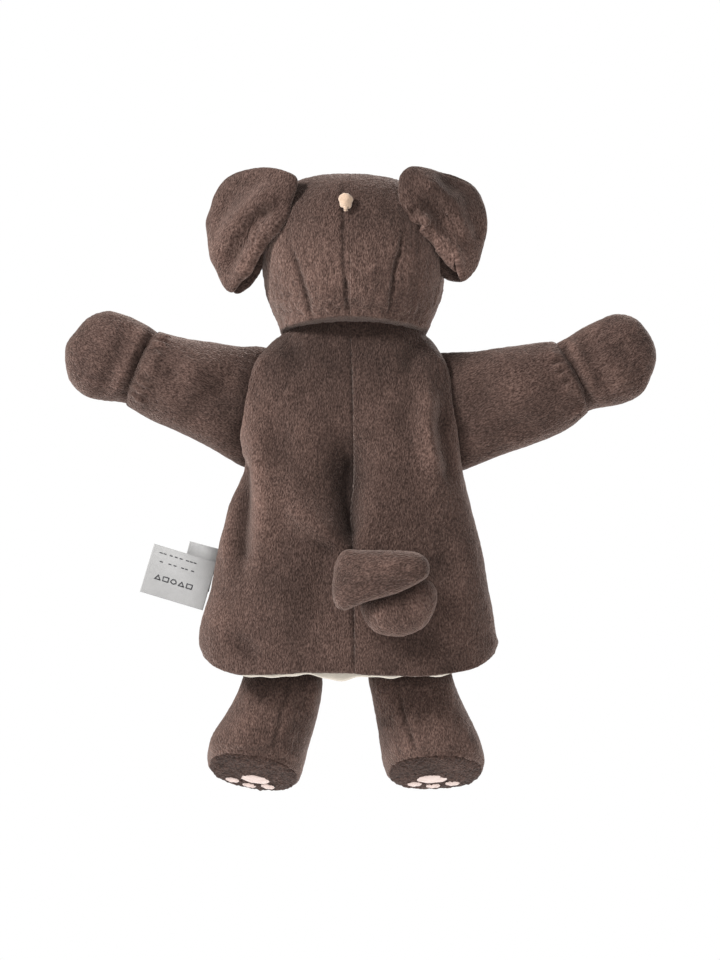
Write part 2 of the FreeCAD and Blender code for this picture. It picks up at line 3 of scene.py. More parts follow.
import bpy
import numpy as np
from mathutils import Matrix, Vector


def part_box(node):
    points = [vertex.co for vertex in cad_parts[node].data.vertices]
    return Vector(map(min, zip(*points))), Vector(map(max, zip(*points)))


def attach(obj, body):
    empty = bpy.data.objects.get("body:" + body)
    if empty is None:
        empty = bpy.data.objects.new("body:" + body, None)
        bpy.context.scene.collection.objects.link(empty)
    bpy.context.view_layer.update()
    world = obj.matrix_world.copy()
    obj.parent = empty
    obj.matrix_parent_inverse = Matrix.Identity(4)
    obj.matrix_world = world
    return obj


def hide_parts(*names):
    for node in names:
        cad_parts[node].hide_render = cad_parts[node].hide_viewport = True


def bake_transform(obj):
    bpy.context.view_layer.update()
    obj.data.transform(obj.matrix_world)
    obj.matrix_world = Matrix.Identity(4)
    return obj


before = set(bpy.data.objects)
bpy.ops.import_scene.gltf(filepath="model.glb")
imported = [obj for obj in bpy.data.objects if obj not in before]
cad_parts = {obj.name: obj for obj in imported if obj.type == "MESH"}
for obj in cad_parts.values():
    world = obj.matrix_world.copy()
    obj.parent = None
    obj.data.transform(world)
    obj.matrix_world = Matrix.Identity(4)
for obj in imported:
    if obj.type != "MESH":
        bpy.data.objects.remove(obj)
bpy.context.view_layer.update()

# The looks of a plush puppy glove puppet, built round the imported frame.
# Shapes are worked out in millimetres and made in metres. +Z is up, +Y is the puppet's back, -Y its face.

MM = 0.001
STEP = 0.55            # distance between neighbouring points of a plush surface, mm
COARSE = 1.6           # the same for linings and fillings
SEAM_SHADE = -0.48      # how much painted shade darkens the pile down in a seam's groove
SEED = 7


# ---------------------------------------------------------------- numbers and curves

def smooth(t):
    """0 below 0, 1 above 1 and an even turn between."""
    t = np.clip(t, 0.0, 1.0)
    return t * t * (3 - 2 * t)


def bowed(value, power):
    """A cosine or sine raised to a power with its sign kept, which squares off a ring drawn with it."""
    return np.sign(value) * np.abs(value) ** power


def curve(points, count, closed=False):
    """Points evenly spaced along a smooth curve through the given ones."""
    p = np.array(points, float)
    if closed:
        p = np.vstack([p[-2:], p, p[:3]])
    else:
        p = np.vstack([2 * p[0] - p[1], p, 2 * p[-1] - p[-2]])
    fine = []
    spans = range(2, len(p) - 3) if closed else range(1, len(p) - 2)
    for i in spans:
        t = np.linspace(0, 1, 40, endpoint=False)[:, None]
        a, b, c, d = p[i - 1], p[i], p[i + 1], p[i + 2]
        fine.append(0.5 * (2 * b + (c - a) * t + (2 * a - 5 * b + 4 * c - d) * t ** 2
                           + (3 * b - a - 3 * c + d) * t ** 3))
    end = fine[0][:1] if closed else p[-2:-1]
    fine = np.vstack(fine + [end])
    length = np.concatenate([[0], np.cumsum(np.linalg.norm(np.diff(fine, axis=0), axis=1))])
    at = np.linspace(0, length[-1], count + 1)[:-1] if closed else np.linspace(0, length[-1], count)
    return np.stack([np.interp(at, length, fine[:, k]) for k in range(fine.shape[1])], 1)


def profile(knots, at):
    """A smooth function through the knots (place, value), read at the given places."""
    dense = curve(sorted(knots), 400)
    return np.interp(at, dense[:, 0], dense[:, 1])


def lattice(ix, iy, iz, seed):
    """An even random number from -1 to 1 for each whole-numbered place."""
    mask = np.uint64(0xFFFFFFFF)
    primes = [np.uint64(374761393), np.uint64(668265263), np.uint64(2246822519), np.uint64(3266489917)]
    n = (ix * primes[0] + iy * primes[1] + iz * primes[2] + np.uint64(seed) * primes[3]) & mask
    n = ((n ^ (n >> np.uint64(15))) * primes[2]) & mask
    n = ((n ^ (n >> np.uint64(13))) * primes[3]) & mask
    return ((n ^ (n >> np.uint64(16))) & np.uint64(0xFFFF)).astype(float) / 32767.5 - 1


def noise(points, size, seed=0):
    """Smooth noise from about -1 to 1, whose lumps measure size in x, y and z."""
    q = points / np.array(size, float) + 5000.0
    low = np.floor(q)
    f = q - low
    f = f * f * (3 - 2 * f)
    i = low.astype(np.uint64)
    one = np.uint64(1)
    total = np.zeros(q.shape[:-1])
    for corner in range(8):
        bits = [(corner >> k) & 1 for k in range(3)]
        weight = np.ones(q.shape[:-1])
        place = []
        for k in range(3):
            weight = weight * (f[..., k] if bits[k] else 1 - f[..., k])
            place.append(i[..., k] + (one if bits[k] else np.uint64(0)))
        total += weight * lattice(*place, SEED + seed)
    return total


def near_line(x, z, line, width):
    """1 on a line in the x-z plane. It falls to 0 about three widths away, and to a quarter at its ends."""
    pts = curve(line, 24)
    best = np.full(x.shape, 1e9)
    where = np.zeros(x.shape)
    for k in range(len(pts) - 1):
        a, b = pts[k], pts[k + 1]
        d = b - a
        t = np.clip(((x - a[0]) * d[0] + (z - a[1]) * d[1]) / max(d @ d, 1e-9), 0, 1)
        gap = (x - a[0] - t * d[0]) ** 2 + (z - a[1] - t * d[1]) ** 2
        closer = gap < best
        best = np.where(closer, gap, best)
        where = np.where(closer, (k + t) / (len(pts) - 1), where)
    w = width
    if not np.isscalar(width):
        w = profile([(k / (len(width) - 1), v) for k, v in enumerate(width)], where)
    length = max(np.linalg.norm(np.diff(pts, axis=0), axis=1).sum(), 1e-6)
    taper = min(max(3.0 * float(np.mean(width)) / length, 0.12), 0.5)
    ends = smooth(where / taper) * smooth((1 - where) / taper)
    return np.exp(-best / (2 * np.square(w))) * (0.25 + 0.75 * ends)


# ---------------------------------------------------------------- meshes

def outward(grid, closed):
    """The outward normal at each point of a grid whose first index runs along and second runs round."""
    if closed:
        du = np.roll(grid, -1, 1) - np.roll(grid, 1, 1)
    else:
        du = np.gradient(grid, axis=1)
    n = np.cross(du, np.gradient(grid, axis=0))
    return n / np.maximum(np.linalg.norm(n, axis=2, keepdims=True), 1e-12)


def quads(rows, cols, closed, first=0, inside=False):
    j, i = np.meshgrid(np.arange(rows - 1), np.arange(cols if closed else cols - 1), indexing="ij")
    k = (i + 1) % cols
    q = np.stack([j * cols + i, j * cols + k, (j + 1) * cols + k, (j + 1) * cols + i], -1).reshape(-1, 4)
    return (q[:, ::-1] if inside else q) + first


def strip(a, b, closed):
    """Quads between two rows of point numbers."""
    if closed:
        a, b = np.append(a, a[0]), np.append(b, b[0])
    return np.stack([a[:-1], b[:-1], b[1:], a[1:]], -1)


def make(name, points, faces, caps=(), nap=None, shade=None, material=None):
    """A mesh object from points in mm, an array of quads and some many-sided caps."""
    mesh = bpy.data.meshes.new(name)
    mesh.vertices.add(len(points))
    mesh.vertices.foreach_set("co", (points * MM).astype(np.float32).ravel())
    loops = np.concatenate([faces.ravel(), *[np.array(c) for c in caps]]).astype(np.int32)
    sizes = np.concatenate([np.full(len(faces), 4), [len(c) for c in caps]]).astype(np.int32)
    mesh.loops.add(len(loops))
    mesh.loops.foreach_set("vertex_index", loops)
    mesh.polygons.add(len(sizes))
    mesh.polygons.foreach_set("loop_start", np.concatenate([[0], np.cumsum(sizes)[:-1]]).astype(np.int32))
    mesh.update(calc_edges=True)
    mesh.validate()
    mesh.polygons.foreach_set("use_smooth", np.ones(len(mesh.polygons), bool))
    if nap is not None:
        layer = mesh.attributes.new("nap", "FLOAT_VECTOR", "POINT")
        layer.data.foreach_set("vector", nap.astype(np.float32).ravel())
    if shade is not None:
        layer = mesh.attributes.new("shade", "FLOAT", "POINT")
        layer.data.foreach_set("value", shade.astype(np.float32).ravel())
    obj = bpy.data.objects.new(name, mesh)
    bpy.context.scene.collection.objects.link(obj)
    if material:
        mesh.materials.append(material)
    return obj


def cloth(name, grid, thickness, closed, material, nap=None, shade=None):
    """A layer of cloth: the grid is its outer face, and the inner face lies under it."""
    rows, cols = grid.shape[:2]
    inner = grid - outward(grid, closed) * thickness
    count = rows * cols
    points = np.vstack([grid.reshape(-1, 3), inner.reshape(-1, 3)])
    ids = np.arange(count).reshape(rows, cols)
    faces = [quads(rows, cols, closed), quads(rows, cols, closed, count, True),
             strip(ids[0], ids[0] + count, closed), strip(ids[-1] + count, ids[-1], closed)]
    if not closed:
        faces += [strip(ids[:, 0] + count, ids[:, 0], False), strip(ids[:, -1], ids[:, -1] + count, False)]
    nap = grid if nap is None else nap
    shade = np.ones((rows, cols)) if shade is None else shade
    return make(name, points, np.vstack(faces), (), np.vstack([nap.reshape(-1, 3)] * 2),
                np.concatenate([shade.ravel()] * 2), material)


def joined(name, grids, material, naps=None, shades=None):
    """One object of several closed forms, each a grid that is closed round and capped at both ends."""
    naps = naps or grids
    shades = shades or [np.ones(grid.shape[:2]) for grid in grids]
    faces, caps, first = [], [], 0
    for grid in grids:
        rows, cols = grid.shape[:2]
        faces.append(quads(rows, cols, True, first))
        caps.append(np.arange(cols)[::-1] + first)
        caps.append(np.arange(cols) + (rows - 1) * cols + first)
        first += rows * cols
    points = np.vstack([grid.reshape(-1, 3) for grid in grids])
    nap = np.vstack([lie.reshape(-1, 3) for lie in naps])
    shade = np.concatenate([tone.ravel() for tone in shades])
    return make(name, points, np.vstack(faces), caps, nap, shade, material)


def stuffed(name, grid, material, nap=None, shade=None):
    """A single closed form."""
    return joined(name, [grid], material, None if nap is None else [nap], None if shade is None else [shade])


def pillow(outline, centre, depth, base=None, spacing=STEP, fullness=0.8, flat_front=1.0):
    """A grid for a pillow whose edge is a closed outline in the x-z plane, bulging to both sides along Y.
    base gives the height of its middle plane at x, z, and centre is the point that it is widest at."""
    length = np.linalg.norm(np.diff(np.array(outline + outline[:1], float), axis=0), axis=1).sum()
    edge = curve(outline, int(length / spacing), True)
    area = 0.5 * np.sum(edge[:, 0] * np.roll(edge[:, 1], -1) - np.roll(edge[:, 0], -1) * edge[:, 1])
    edge = edge if area < 0 else edge[::-1]
    centre = np.array(centre, float)
    reach = np.linalg.norm(edge - centre, axis=1).mean()
    rows = int(2.6 * reach / spacing)
    turn = np.linspace(0.02, math.pi - 0.02, rows)
    share = np.sin(turn)
    height = bowed(np.cos(turn), fullness)
    height = np.where(height < 0, height * flat_front, height)
    flat = centre + share[:, None, None] * (edge[None] - centre)
    grid = np.zeros((rows, len(edge), 3))
    grid[..., 0] = flat[..., 0]
    grid[..., 2] = flat[..., 1]
    middle = 0.0 if base is None else base(flat[..., 0], flat[..., 1])
    grid[..., 1] = middle + depth * height[:, None]
    return right_way_out(grid)


def right_way_out(grid):
    n = outward(grid, True)
    if np.sum(n * (grid - grid.mean((0, 1)))) < 0:
        return grid[:, ::-1].copy()
    return grid


def folded(grid, closed, folds, front=False):
    """Moves a surface along its normals into folds. Returns the new grid and a shade for each point.
    A fold is (line, width, height, shade). Its line is in the x-z plane, and its shade is painted shade
    where it is below 0 and a painted highlight where it is above 0. It works on the side that faces
    the back, or the face where front is set."""
    n = outward(grid, closed)
    x, z = grid[..., 0], grid[..., 2]
    facing = smooth((-n[..., 1] if front else n[..., 1]) / 0.35)
    move = np.zeros(x.shape)
    shade = np.ones(x.shape)
    for line, width, height, tone in folds:
        amount = near_line(x, z, line, width) * facing
        move += height * amount
        # painted shade in a hollow and painted highlight on a ridge
        shade *= 1 + tone * amount
    return grid + n * move[..., None], shade


def plush(grid, closed, folds=(), nap=None, pile=0.14, tufts=0.0, tuft_mask=None, seams=(), front=False):
    """Adds folds, seams and the lie of the pile. Returns the new grid and a shade for each point,
    which holds painted shade in folds and seams, painted highlights on ridges and the pile's own uneven tone.
    """
    nap = grid if nap is None else nap
    folds = list(folds)
    # seams become grooves with painted shade in them, darker the deeper they are
    folds += [(line, width, -depth, SEAM_SHADE * min(depth, 1.0)) for line, width, depth in seams]
    grid, shade = folded(grid, closed, folds, front)
    n = outward(grid, closed)
    streak = noise(nap, (1.1, 1.4, 2.4), 1) + 0.6 * noise(nap, (0.7, 1.0, 1.6), 2)
    swell = noise(nap, (7, 9, 12), 3)
    move = pile * streak + 0.36 * swell
    shade = shade * (1 + 0.13 * streak + 0.07 * swell)
    if tufts:
        warp = np.stack([noise(nap, (6, 6, 6), k) for k in (11, 12, 13)], -1) * 2.6
        tuft = noise(nap + warp, (1.5, 2.2, 4.5), 5) + 0.5 * noise(nap + warp, (0.9, 1.5, 2.6), 6)
        mask = 1.0 if tuft_mask is None else tuft_mask
        move += tufts * tuft * mask
        shade *= 1 + 0.20 * tuft * mask
    return grid + n * move[..., None], np.clip(shade, 0.25, 1.9)


def along(grid, direction):
    """Pile coordinates whose third axis runs along a direction in the x-z plane."""
    c, s = direction
    size = math.hypot(c, s)
    c, s = c / size, s / size
    nap = np.empty_like(grid)
    nap[..., 0] = -grid[..., 0] * s + grid[..., 2] * c
    nap[..., 1] = grid[..., 1]
    nap[..., 2] = grid[..., 0] * c + grid[..., 2] * s
    return nap


# ---------------------------------------------------------------- materials

def new_material(name):
    m = bpy.data.materials.new(name)
    m.use_nodes = True
    nodes = m.node_tree.nodes
    return m, nodes, m.node_tree.links, nodes["Principled BSDF"]


def ramp(nodes, links, source, stops):
    node = nodes.new("ShaderNodeValToRGB")
    node.color_ramp.elements[0].position = stops[0][0]
    node.color_ramp.elements[0].color = (*stops[0][1], 1)
    node.color_ramp.elements[1].position = stops[-1][0]
    node.color_ramp.elements[1].color = (*stops[-1][1], 1)
    for place, colour in stops[1:-1]:
        node.color_ramp.elements.new(place).color = (*colour, 1)
    links.new(source, node.inputs["Fac"])
    return node.outputs["Color"]


def nap_noise(nodes, links, scale, detail=3.0, roughness=0.6):
    """Noise stretched along the pile, whose lumps measure 1/scale in mm."""
    place = nodes.new("ShaderNodeAttribute")
    place.attribute_name = "nap"
    stretch = nodes.new("ShaderNodeMapping")
    stretch.inputs["Scale"].default_value = scale
    links.new(place.outputs["Vector"], stretch.inputs["Vector"])
    tex = nodes.new("ShaderNodeTexNoise")
    tex.inputs["Scale"].default_value = 1.0
    tex.inputs["Detail"].default_value = detail
    tex.inputs["Roughness"].default_value = roughness
    links.new(stretch.outputs["Vector"], tex.inputs["Vector"])
    return tex.outputs["Fac"]


def mixed(nodes, links, a, b, kind, factor=1.0):
    node = nodes.new("ShaderNodeMix")
    node.data_type = "RGBA"
    node.blend_type = kind
    node.inputs["Factor"].default_value = factor
    links.new(a, node.inputs["A"])
    links.new(b, node.inputs["B"])
    return node.outputs["Result"]


def bumped(nodes, links, bsdf, source, distance, strength=1.0):
    bump = nodes.new("ShaderNodeBump")
    bump.inputs["Strength"].default_value = strength
    bump.inputs["Distance"].default_value = distance * MM
    links.new(source, bump.inputs["Height"])
    links.new(bump.outputs["Normal"], bsdf.inputs["Normal"])


def plush_material(name, dark, middle, light, sheen, streak=(1.7, 1.5, 0.85), bump=1.0):
    """Short brushed pile: streaks along the nap, soft patches, a matt body and a sheen at its edges."""
    m, nodes, links, bsdf = new_material(name)
    fine = nap_noise(nodes, links, streak, 2.0, 0.5)
    colour = ramp(nodes, links, fine, [(0.30, dark), (0.50, middle), (0.72, light)])
    patch = ramp(nodes, links, nap_noise(nodes, links, (0.06, 0.06, 0.045), 2.0),
                 [(0.35, (0.76, 0.76, 0.76)), (0.65, (1.04, 1.04, 1.04))])
    colour = mixed(nodes, links, colour, patch, "MULTIPLY")
    # the shade attribute multiplies painted shade, painted highlights and the pile's own uneven tone into the
    # colour
    tone = nodes.new("ShaderNodeAttribute")
    tone.attribute_name = "shade"
    colour = mixed(nodes, links, colour, tone.outputs["Color"], "MULTIPLY")
    links.new(colour, bsdf.inputs["Base Color"])
    rough = nodes.new("ShaderNodeMapRange")
    rough.inputs["To Min"].default_value = 0.82
    rough.inputs["To Max"].default_value = 0.98
    links.new(fine, rough.inputs["Value"])
    links.new(rough.outputs["Result"], bsdf.inputs["Roughness"])
    bsdf.inputs["Specular IOR Level"].default_value = 0.08
    bsdf.inputs["Sheen Weight"].default_value = sheen
    bsdf.inputs["Sheen Roughness"].default_value = 0.42
    bsdf.inputs["Sheen Tint"].default_value = (0.90, 0.70, 0.62, 1)
    bumped(nodes, links, bsdf, fine, bump)
    return m


def woven_material(name, base, light, threads, bump=0.06, sheen=0.2, rough=0.85, gloss=0.2):
    """Plain woven cloth: two crossing sets of threads, threads being how many there are to a millimetre."""
    m, nodes, links, bsdf = new_material(name)
    place = nodes.new("ShaderNodeAttribute")
    place.attribute_name = "nap"
    waves = []
    for direction in ("X", "Z"):
        wave = nodes.new("ShaderNodeTexWave")
        wave.bands_direction = direction
        wave.inputs["Scale"].default_value = threads * 0.314
        wave.inputs["Distortion"].default_value = 0.6
        wave.inputs["Detail"].default_value = 1.0
        links.new(place.outputs["Vector"], wave.inputs["Vector"])
        waves.append(wave.outputs["Fac"])
    weave = nodes.new("ShaderNodeMath")
    weave.operation = "MULTIPLY"
    links.new(waves[0], weave.inputs[0])
    links.new(waves[1], weave.inputs[1])
    colour = ramp(nodes, links, weave.outputs["Value"], [(0.0, base), (0.8, light)])
    patch = ramp(nodes, links, nap_noise(nodes, links, (0.2, 0.2, 0.2), 3.0),
                 [(0.3, (0.9, 0.9, 0.9)), (0.7, (1.0, 1.0, 1.0))])
    colour = mixed(nodes, links, colour, patch, "MULTIPLY")
    tone = nodes.new("ShaderNodeAttribute")
    tone.attribute_name = "shade"
    colour = mixed(nodes, links, colour, tone.outputs["Color"], "MULTIPLY")
    links.new(colour, bsdf.inputs["Base Color"])
    bsdf.inputs["Specular IOR Level"].default_value = gloss
    bsdf.inputs["Sheen Weight"].default_value = sheen
    spread = nodes.new("ShaderNodeMapRange")
    spread.inputs["To Min"].default_value = rough - 0.08
    spread.inputs["To Max"].default_value = rough + 0.08
    links.new(weave.outputs["Value"], spread.inputs["Value"])
    links.new(spread.outputs["Result"], bsdf.inputs["Roughness"])
    bumped(nodes, links, bsdf, weave.outputs["Value"], bump)
    return m


def bead_material(name):
    """Glossy black moulded plastic with faint handling marks."""
    m, nodes, links, bsdf = new_material(name)
    marks = nap_noise(nodes, links, (2.0, 2.0, 2.0), 4.0)
    links.new(ramp(nodes, links, marks, [(0.3, (0.004, 0.004, 0.004)), (0.7, (0.010, 0.009, 0.009))]),
              bsdf.inputs["Base Color"])
    spread = nodes.new("ShaderNodeMapRange")
    spread.inputs["To Min"].default_value = 0.08
    spread.inputs["To Max"].default_value = 0.2
    links.new(marks, spread.inputs["Value"])
    links.new(spread.outputs["Result"], bsdf.inputs["Roughness"])
    return m


BROWN = plush_material("brown_plush", (0.021, 0.0115, 0.0090), (0.050, 0.0298, 0.0240),
                       (0.089, 0.0565, 0.0465), 0.22)
SOLE = plush_material("sole_plush", (0.009, 0.0046, 0.0035), (0.029, 0.0165, 0.0130),
                      (0.062, 0.037, 0.030), 0.05, (1.1, 1.1, 0.9), 1.1)
LINING = woven_material("lining_cloth", (0.36, 0.32, 0.27), (0.58, 0.53, 0.46), 3.0)
FIBRE = plush_material("fibre_filling", (0.62, 0.61, 0.59), (0.75, 0.74, 0.72),
                       (0.86, 0.85, 0.83), 0.2, (0.5, 0.5, 0.5))
PINK = woven_material("pink_embroidery", (0.34, 0.26, 0.23), (0.60, 0.48, 0.44), 2.2, 0.12, 0.3)
NOSE = woven_material("nose_cloth", (0.006, 0.005, 0.005), (0.022, 0.019, 0.018), 2.0, 0.1, 0.3)
CORD = woven_material("tan_cord", (0.34, 0.23, 0.16), (0.62, 0.47, 0.34), 2.5, 0.15, 0.3)
SATIN = woven_material("label_satin", (0.19, 0.187, 0.184), (0.29, 0.286, 0.282), 5.0, 0.02, 0.0, 0.55, 0.3)
PRINT = woven_material("label_print", (0.02, 0.02, 0.022), (0.05, 0.05, 0.055), 5.0, 0.01, 0.0)
BEAD = bead_material("eye_bead")


# ---------------------------------------------------------------- sizes read from the frame

def box_mm(*nodes):
    """Lowest and highest corner of some CAD nodes together, in mm."""
    boxes = [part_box(n) for n in nodes]
    low = np.min([np.array(b[0]) for b in boxes], 0) / MM
    high = np.max([np.array(b[1]) for b in boxes], 0) / MM
    return low, high


COLLAR = 150.3         # height of the collar's ends over the hem


# ---------------------------------------------------------------- body

# height over the hem and half width to each side, in mm
LEFT_EDGE = [(0, 66.4), (5, 67.6), (11, 68), (20, 67.4), (36.5, 62.8), (48, 60.6), (58, 58.4), (65, 56),
             (72, 54.5), (79, 52.2), (85.5, 49.6), (92, 47.4), (104, 47.9), (116, 47.7), (127, 46.4),
             (135, 44.2), (141, 41), (147.6, 35), (150.3, 31.2)]
RIGHT_EDGE = [(0, 65.5), (5, 66.6), (11, 66.8), (18, 65.6), (31.5, 63.5), (45, 60.9), (58.5, 58.6),
              (72, 55), (85.5, 51.6), (92, 50.3), (98, 49.3), (113, 47.3), (131, 44.6), (138, 43),
              (143, 40.6), (147.5, 37.6), (150.3, 34.6)]
BODY_DEPTH = [(0, 24.5), (30, 25), (60, 24), (94, 22.5), (120, 20.5), (138, 18.0), (150.3, 14.5)]
CHEST_SHADE = 0.34     # how much painted shade darkens the body towards the collar, under the head
EVEN_HEIGHT = 60.0     # height of the ring that the body's columns of points are spaced on
LINING_INSET = 4.2     # how far the lining lies inside the outer cloth
SEAM_AT = [(0, -2.2), (30, -1.8), (56, -1.3), (70, -0.3), (90, -1.6), (125, -1.0), (157, 0.6)]

BODY_FOLDS = [
    # line, width, height and shade: the shade is painted, painted shade where it is below 0 and a painted
    # highlight where it is above 0, and it goes with the moved cloth
    ([(0.0, 114), (0.8, 98), (1.0, 82), (0.2, 70), (-1.0, 54)], [5.0, 8.0, 9.0, 6.0, 3.0], -6.5, -0.30),
    ([(0.4, 100), (1.2, 86), (0.6, 72), (-0.8, 55)], [3.0, 4.0, 2.8, 1.5], -3.6, -0.70),
    ([(30, 76), (16, 67), (2, 56)], [5.0, 4.0, 3.0], 3.8, 0.36),
    ([(24, 88), (12, 78)], 4.5, -1.0, -0.10),
    ([(-9, 60), (-8, 74), (-10, 94)], 5.0, 1.8, 0.06),
    ([(9, 60), (12, 48)], 4.0, -1.8, -0.34),
    ([(28, 46), (14, 35), (0, 26)], 8.0, -2.6, -0.22),
    ([(-40, 56), (-43, 34)], 6.0, -2.4, -0.24),
    ([(33, 153), (24, 140), (19, 130)], 3.4, -2.4, -0.30),
    ([(-35, 153), (-28, 140), (-24, 131)], 3.4, -2.4, -0.30),
    ([(-34, 130), (-34, 113), (-36.5, 98), (-41, 86)], 3.6, 3.8, 0.46),
    ([(-41, 120), (-40.5, 104), (-43.5, 92), (-48, 82)], 2.6, -2.4, -0.34),
    ([(-26, 122), (-27, 98)], 5.0, -1.4, -0.12),
    ([(42, 116), (40.5, 96), (38.5, 76), (40, 50)], 4.2, 4.4, 0.62),
    ([(48, 98), (47, 76), (49, 46)], 2.8, -3.6, -0.52),
    ([(52, 86), (53.5, 68), (56, 48)], 2.2, 1.8, 0.22),
    ([(32, 108), (30, 82)], 5.0, -1.6, -0.14),
    ([(46.6, 90), (46.0, 116), (43.8, 130), (37, 144)], 1.6, 1.1, 0.40),
    ([(-48.4, 88), (-46.4, 113), (-43.6, 131), (-38.5, 143)], 1.5, 1.0, 0.26),
    ([(50, 6), (43, 16)], 5.0, -2.0, -0.26),
    ([(61, 6), (58, 34)], 5.0, 1.6, 0.14),
    ([(28, 12), (34, 52)], 7.0, 1.4, -0.06),
    ([(-24, 6), (-30, 26)], 7.0, -2.0, -0.20),
    ([(-56, 18), (-50, 64)], 5.5, 1.6, 0.10),
    ([(-16, 94), (-26, 74), (-42, 60)], 7.0, -1.6, -0.14),
    ([(12, 20), (30, 14)], 6.0, -1.2, -0.16),
    ([(-50, 30), (-46, 12)], 6.0, 1.2, 0.20),
    ([(22, 66), (30, 90)], 6.0, 1.2, 0.12),
    ([(-22, 66), (-24, 46)], 6.0, 1.4, 0.14),
    ([(-20, 108), (-8, 122)], 8.0, 1.0, 0.02),
    ([(18, 122), (20, 96)], 7.0, 1.2, 0.06),
]
# folds on the front, in the same columns, with the same painted shade and painted highlight
FRONT_FOLDS = [
    ([(4, 96), (3, 70)], 6.0, -2.0, -0.1),
    ([(-30, 30), (-26, 80)], 5.0, 1.2, 0.06),
    ([(30, 20), (24, 84)], 5.0, 1.2, 0.06),
    ([(12, 10), (16, 60)], 6.0, -1.4, -0.05),
    ([(-14, 6), (-12, 50)], 6.0, -1.2, -0.05),
]


def body_ring(turn, height, inset=0.0):
    """Points of the body's outside at a turn (0 at its left seam, 90 degrees at the middle of the back)."""
    h = np.clip(height, 0, COLLAR)
    c, s = np.cos(turn), np.sin(turn)
    square = 2 / (2.5 + 0.7 * smooth((h - 60) / 50) - 0.7 * smooth((h - 135) / 15))
    wide = np.where(c >= 0, profile(LEFT_EDGE, h), profile(RIGHT_EDGE, h)) - inset
    deep = profile(BODY_DEPTH, h) - inset
    x = wide * bowed(c, square)
    y = deep * bowed(s, square)
    share = 1 - np.abs(x / wide) ** 2
    x = x + profile(SEAM_AT, h) * share * (s > 0)
    lift = 7.4 * smooth((h - 96) / 54) * share + 7.5 * smooth((16 - h) / 16) * np.abs(x / wide) ** 9
    wave = 0.9 * smooth((20 - h) / 20) * np.sin(x / 13.0 + 0.6)
    return np.stack([x, y, height + lift + wave], -1)


def even_turns(fine, ring, spacing):
    """The turns that divide a finely drawn ring evenly; fine holds the turns that it was drawn at."""
    length = np.concatenate([[0], np.cumsum(np.linalg.norm(np.diff(ring, axis=0), axis=1))])
    return np.interp(np.linspace(0, length[-1], int(length[-1] / spacing) + 1), length, fine)


def body_part(start, end, spacing, inset=0.0, top=True):
    """The body's surface between two turns, with a rolled hem and, at the top, a collar that tucks in."""
    heights = np.arange(0.0, COLLAR, spacing)
    fine = np.linspace(start, end, 600)
    turn = even_turns(fine, body_ring(fine, np.full(fine.shape, EVEN_HEIGHT)), spacing)
    t, h = np.meshgrid(turn, heights)
    grid = body_ring(t, h, inset)
    tuck = []
    if top:
        rim = body_ring(turn, np.full(turn.shape, COLLAR), inset)
        for k in range(1, 9):
            a = k / 8 * 2.2
            ring = rim.copy()
            ring[:, :2] *= 1 - 0.055 * (1 - math.cos(a))
            ring[:, 2] += 1.5 * math.sin(a) - 1.2 * smooth((a - 1.5) / 0.7)
            tuck.append(ring)
        grid = np.vstack([grid, np.array(tuck)])
    foot = grid[0].copy()
    hem = []
    for k in range(4):
        ring = foot.copy()
        ring[:, :2] *= 1 - 0.010 * (4 - k) ** 2 / 4
        ring[:, 2] -= 0.45 * (4 - k) ** 0.7
        hem.append(ring)
    return np.vstack([np.array(hem), grid])


def make_body():
    half = math.pi / 2
    skirt_seam = [(x, z) for z, x in SEAM_AT if z < 75]
    chest_seam = [(x, z) for z, x in SEAM_AT if z > 65]
    parts = {"back_panel_left": (0, half), "back_panel_right": (half, 2 * half),
             "front_panel": (2 * half, 4 * half)}
    made = []
    for name, (start, end) in parts.items():
        is_front = name == "front_panel"
        grid = body_part(start, end, 0.8 if is_front else STEP)
        folds = FRONT_FOLDS if is_front else BODY_FOLDS
        seams = [] if is_front else [(skirt_seam, 0.9, 0.8), (chest_seam, 0.9, 0.3)]
        grid, shade = plush(grid, False, folds, None, 0.13, seams=seams, front=is_front)
        # the side seams and the hem pull the cloth in a little; painted shade darkens the cloth along the
        # side seams and towards the collar, under the head
        cols = grid.shape[1]
        u = np.arange(cols) * (0.8 if is_front else STEP)
        shade = shade * (1 - CHEST_SHADE * smooth((grid[..., 2] - 100) / 50))
        side = np.exp(-u / 1.4)
        if is_front:
            side = side + side[::-1]
        if name == "back_panel_right":
            side = side[::-1]
        grid = grid - outward(grid, False) * (0.8 * side)[None, :, None]
        shade = shade * (1 - 0.2 * side)[None]
        obj = cloth(name + "_cloth", grid, 1.5, False, BROWN, grid, shade)
        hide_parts(name)
        made.append(obj)
    for name, start, end in (("lining_back", 0, 2 * half), ("lining_front", 2 * half, 4 * half)):
        grid = body_part(start, end, COARSE, LINING_INSET, False)
        if name == "lining_back":
            grid, shade = folded(grid, False, BODY_FOLDS)
        drop = np.exp(-np.maximum(grid[..., 2], 0) / 8.0)
        x = grid[..., 0]
        shown = 0.5 + 2.6 * np.exp(-((x - 5) / 13) ** 2) + 0.8 * np.exp(-((x - 40) / 12) ** 2)
        grid[..., 2] -= drop * (shown + 0.35 * np.sin(x / 4.1) + 0.25 * np.sin(x / 1.7))
        grid = grid + outward(grid, False) * (0.35 * np.sin(x / 3.3) * drop)[..., None]
        obj = cloth(name + "_cloth", grid, 0.7, False, LINING)
        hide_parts(name)
        made.append(obj)
    for obj in made:
        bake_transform(obj)


# ---------------------------------------------------------------- head

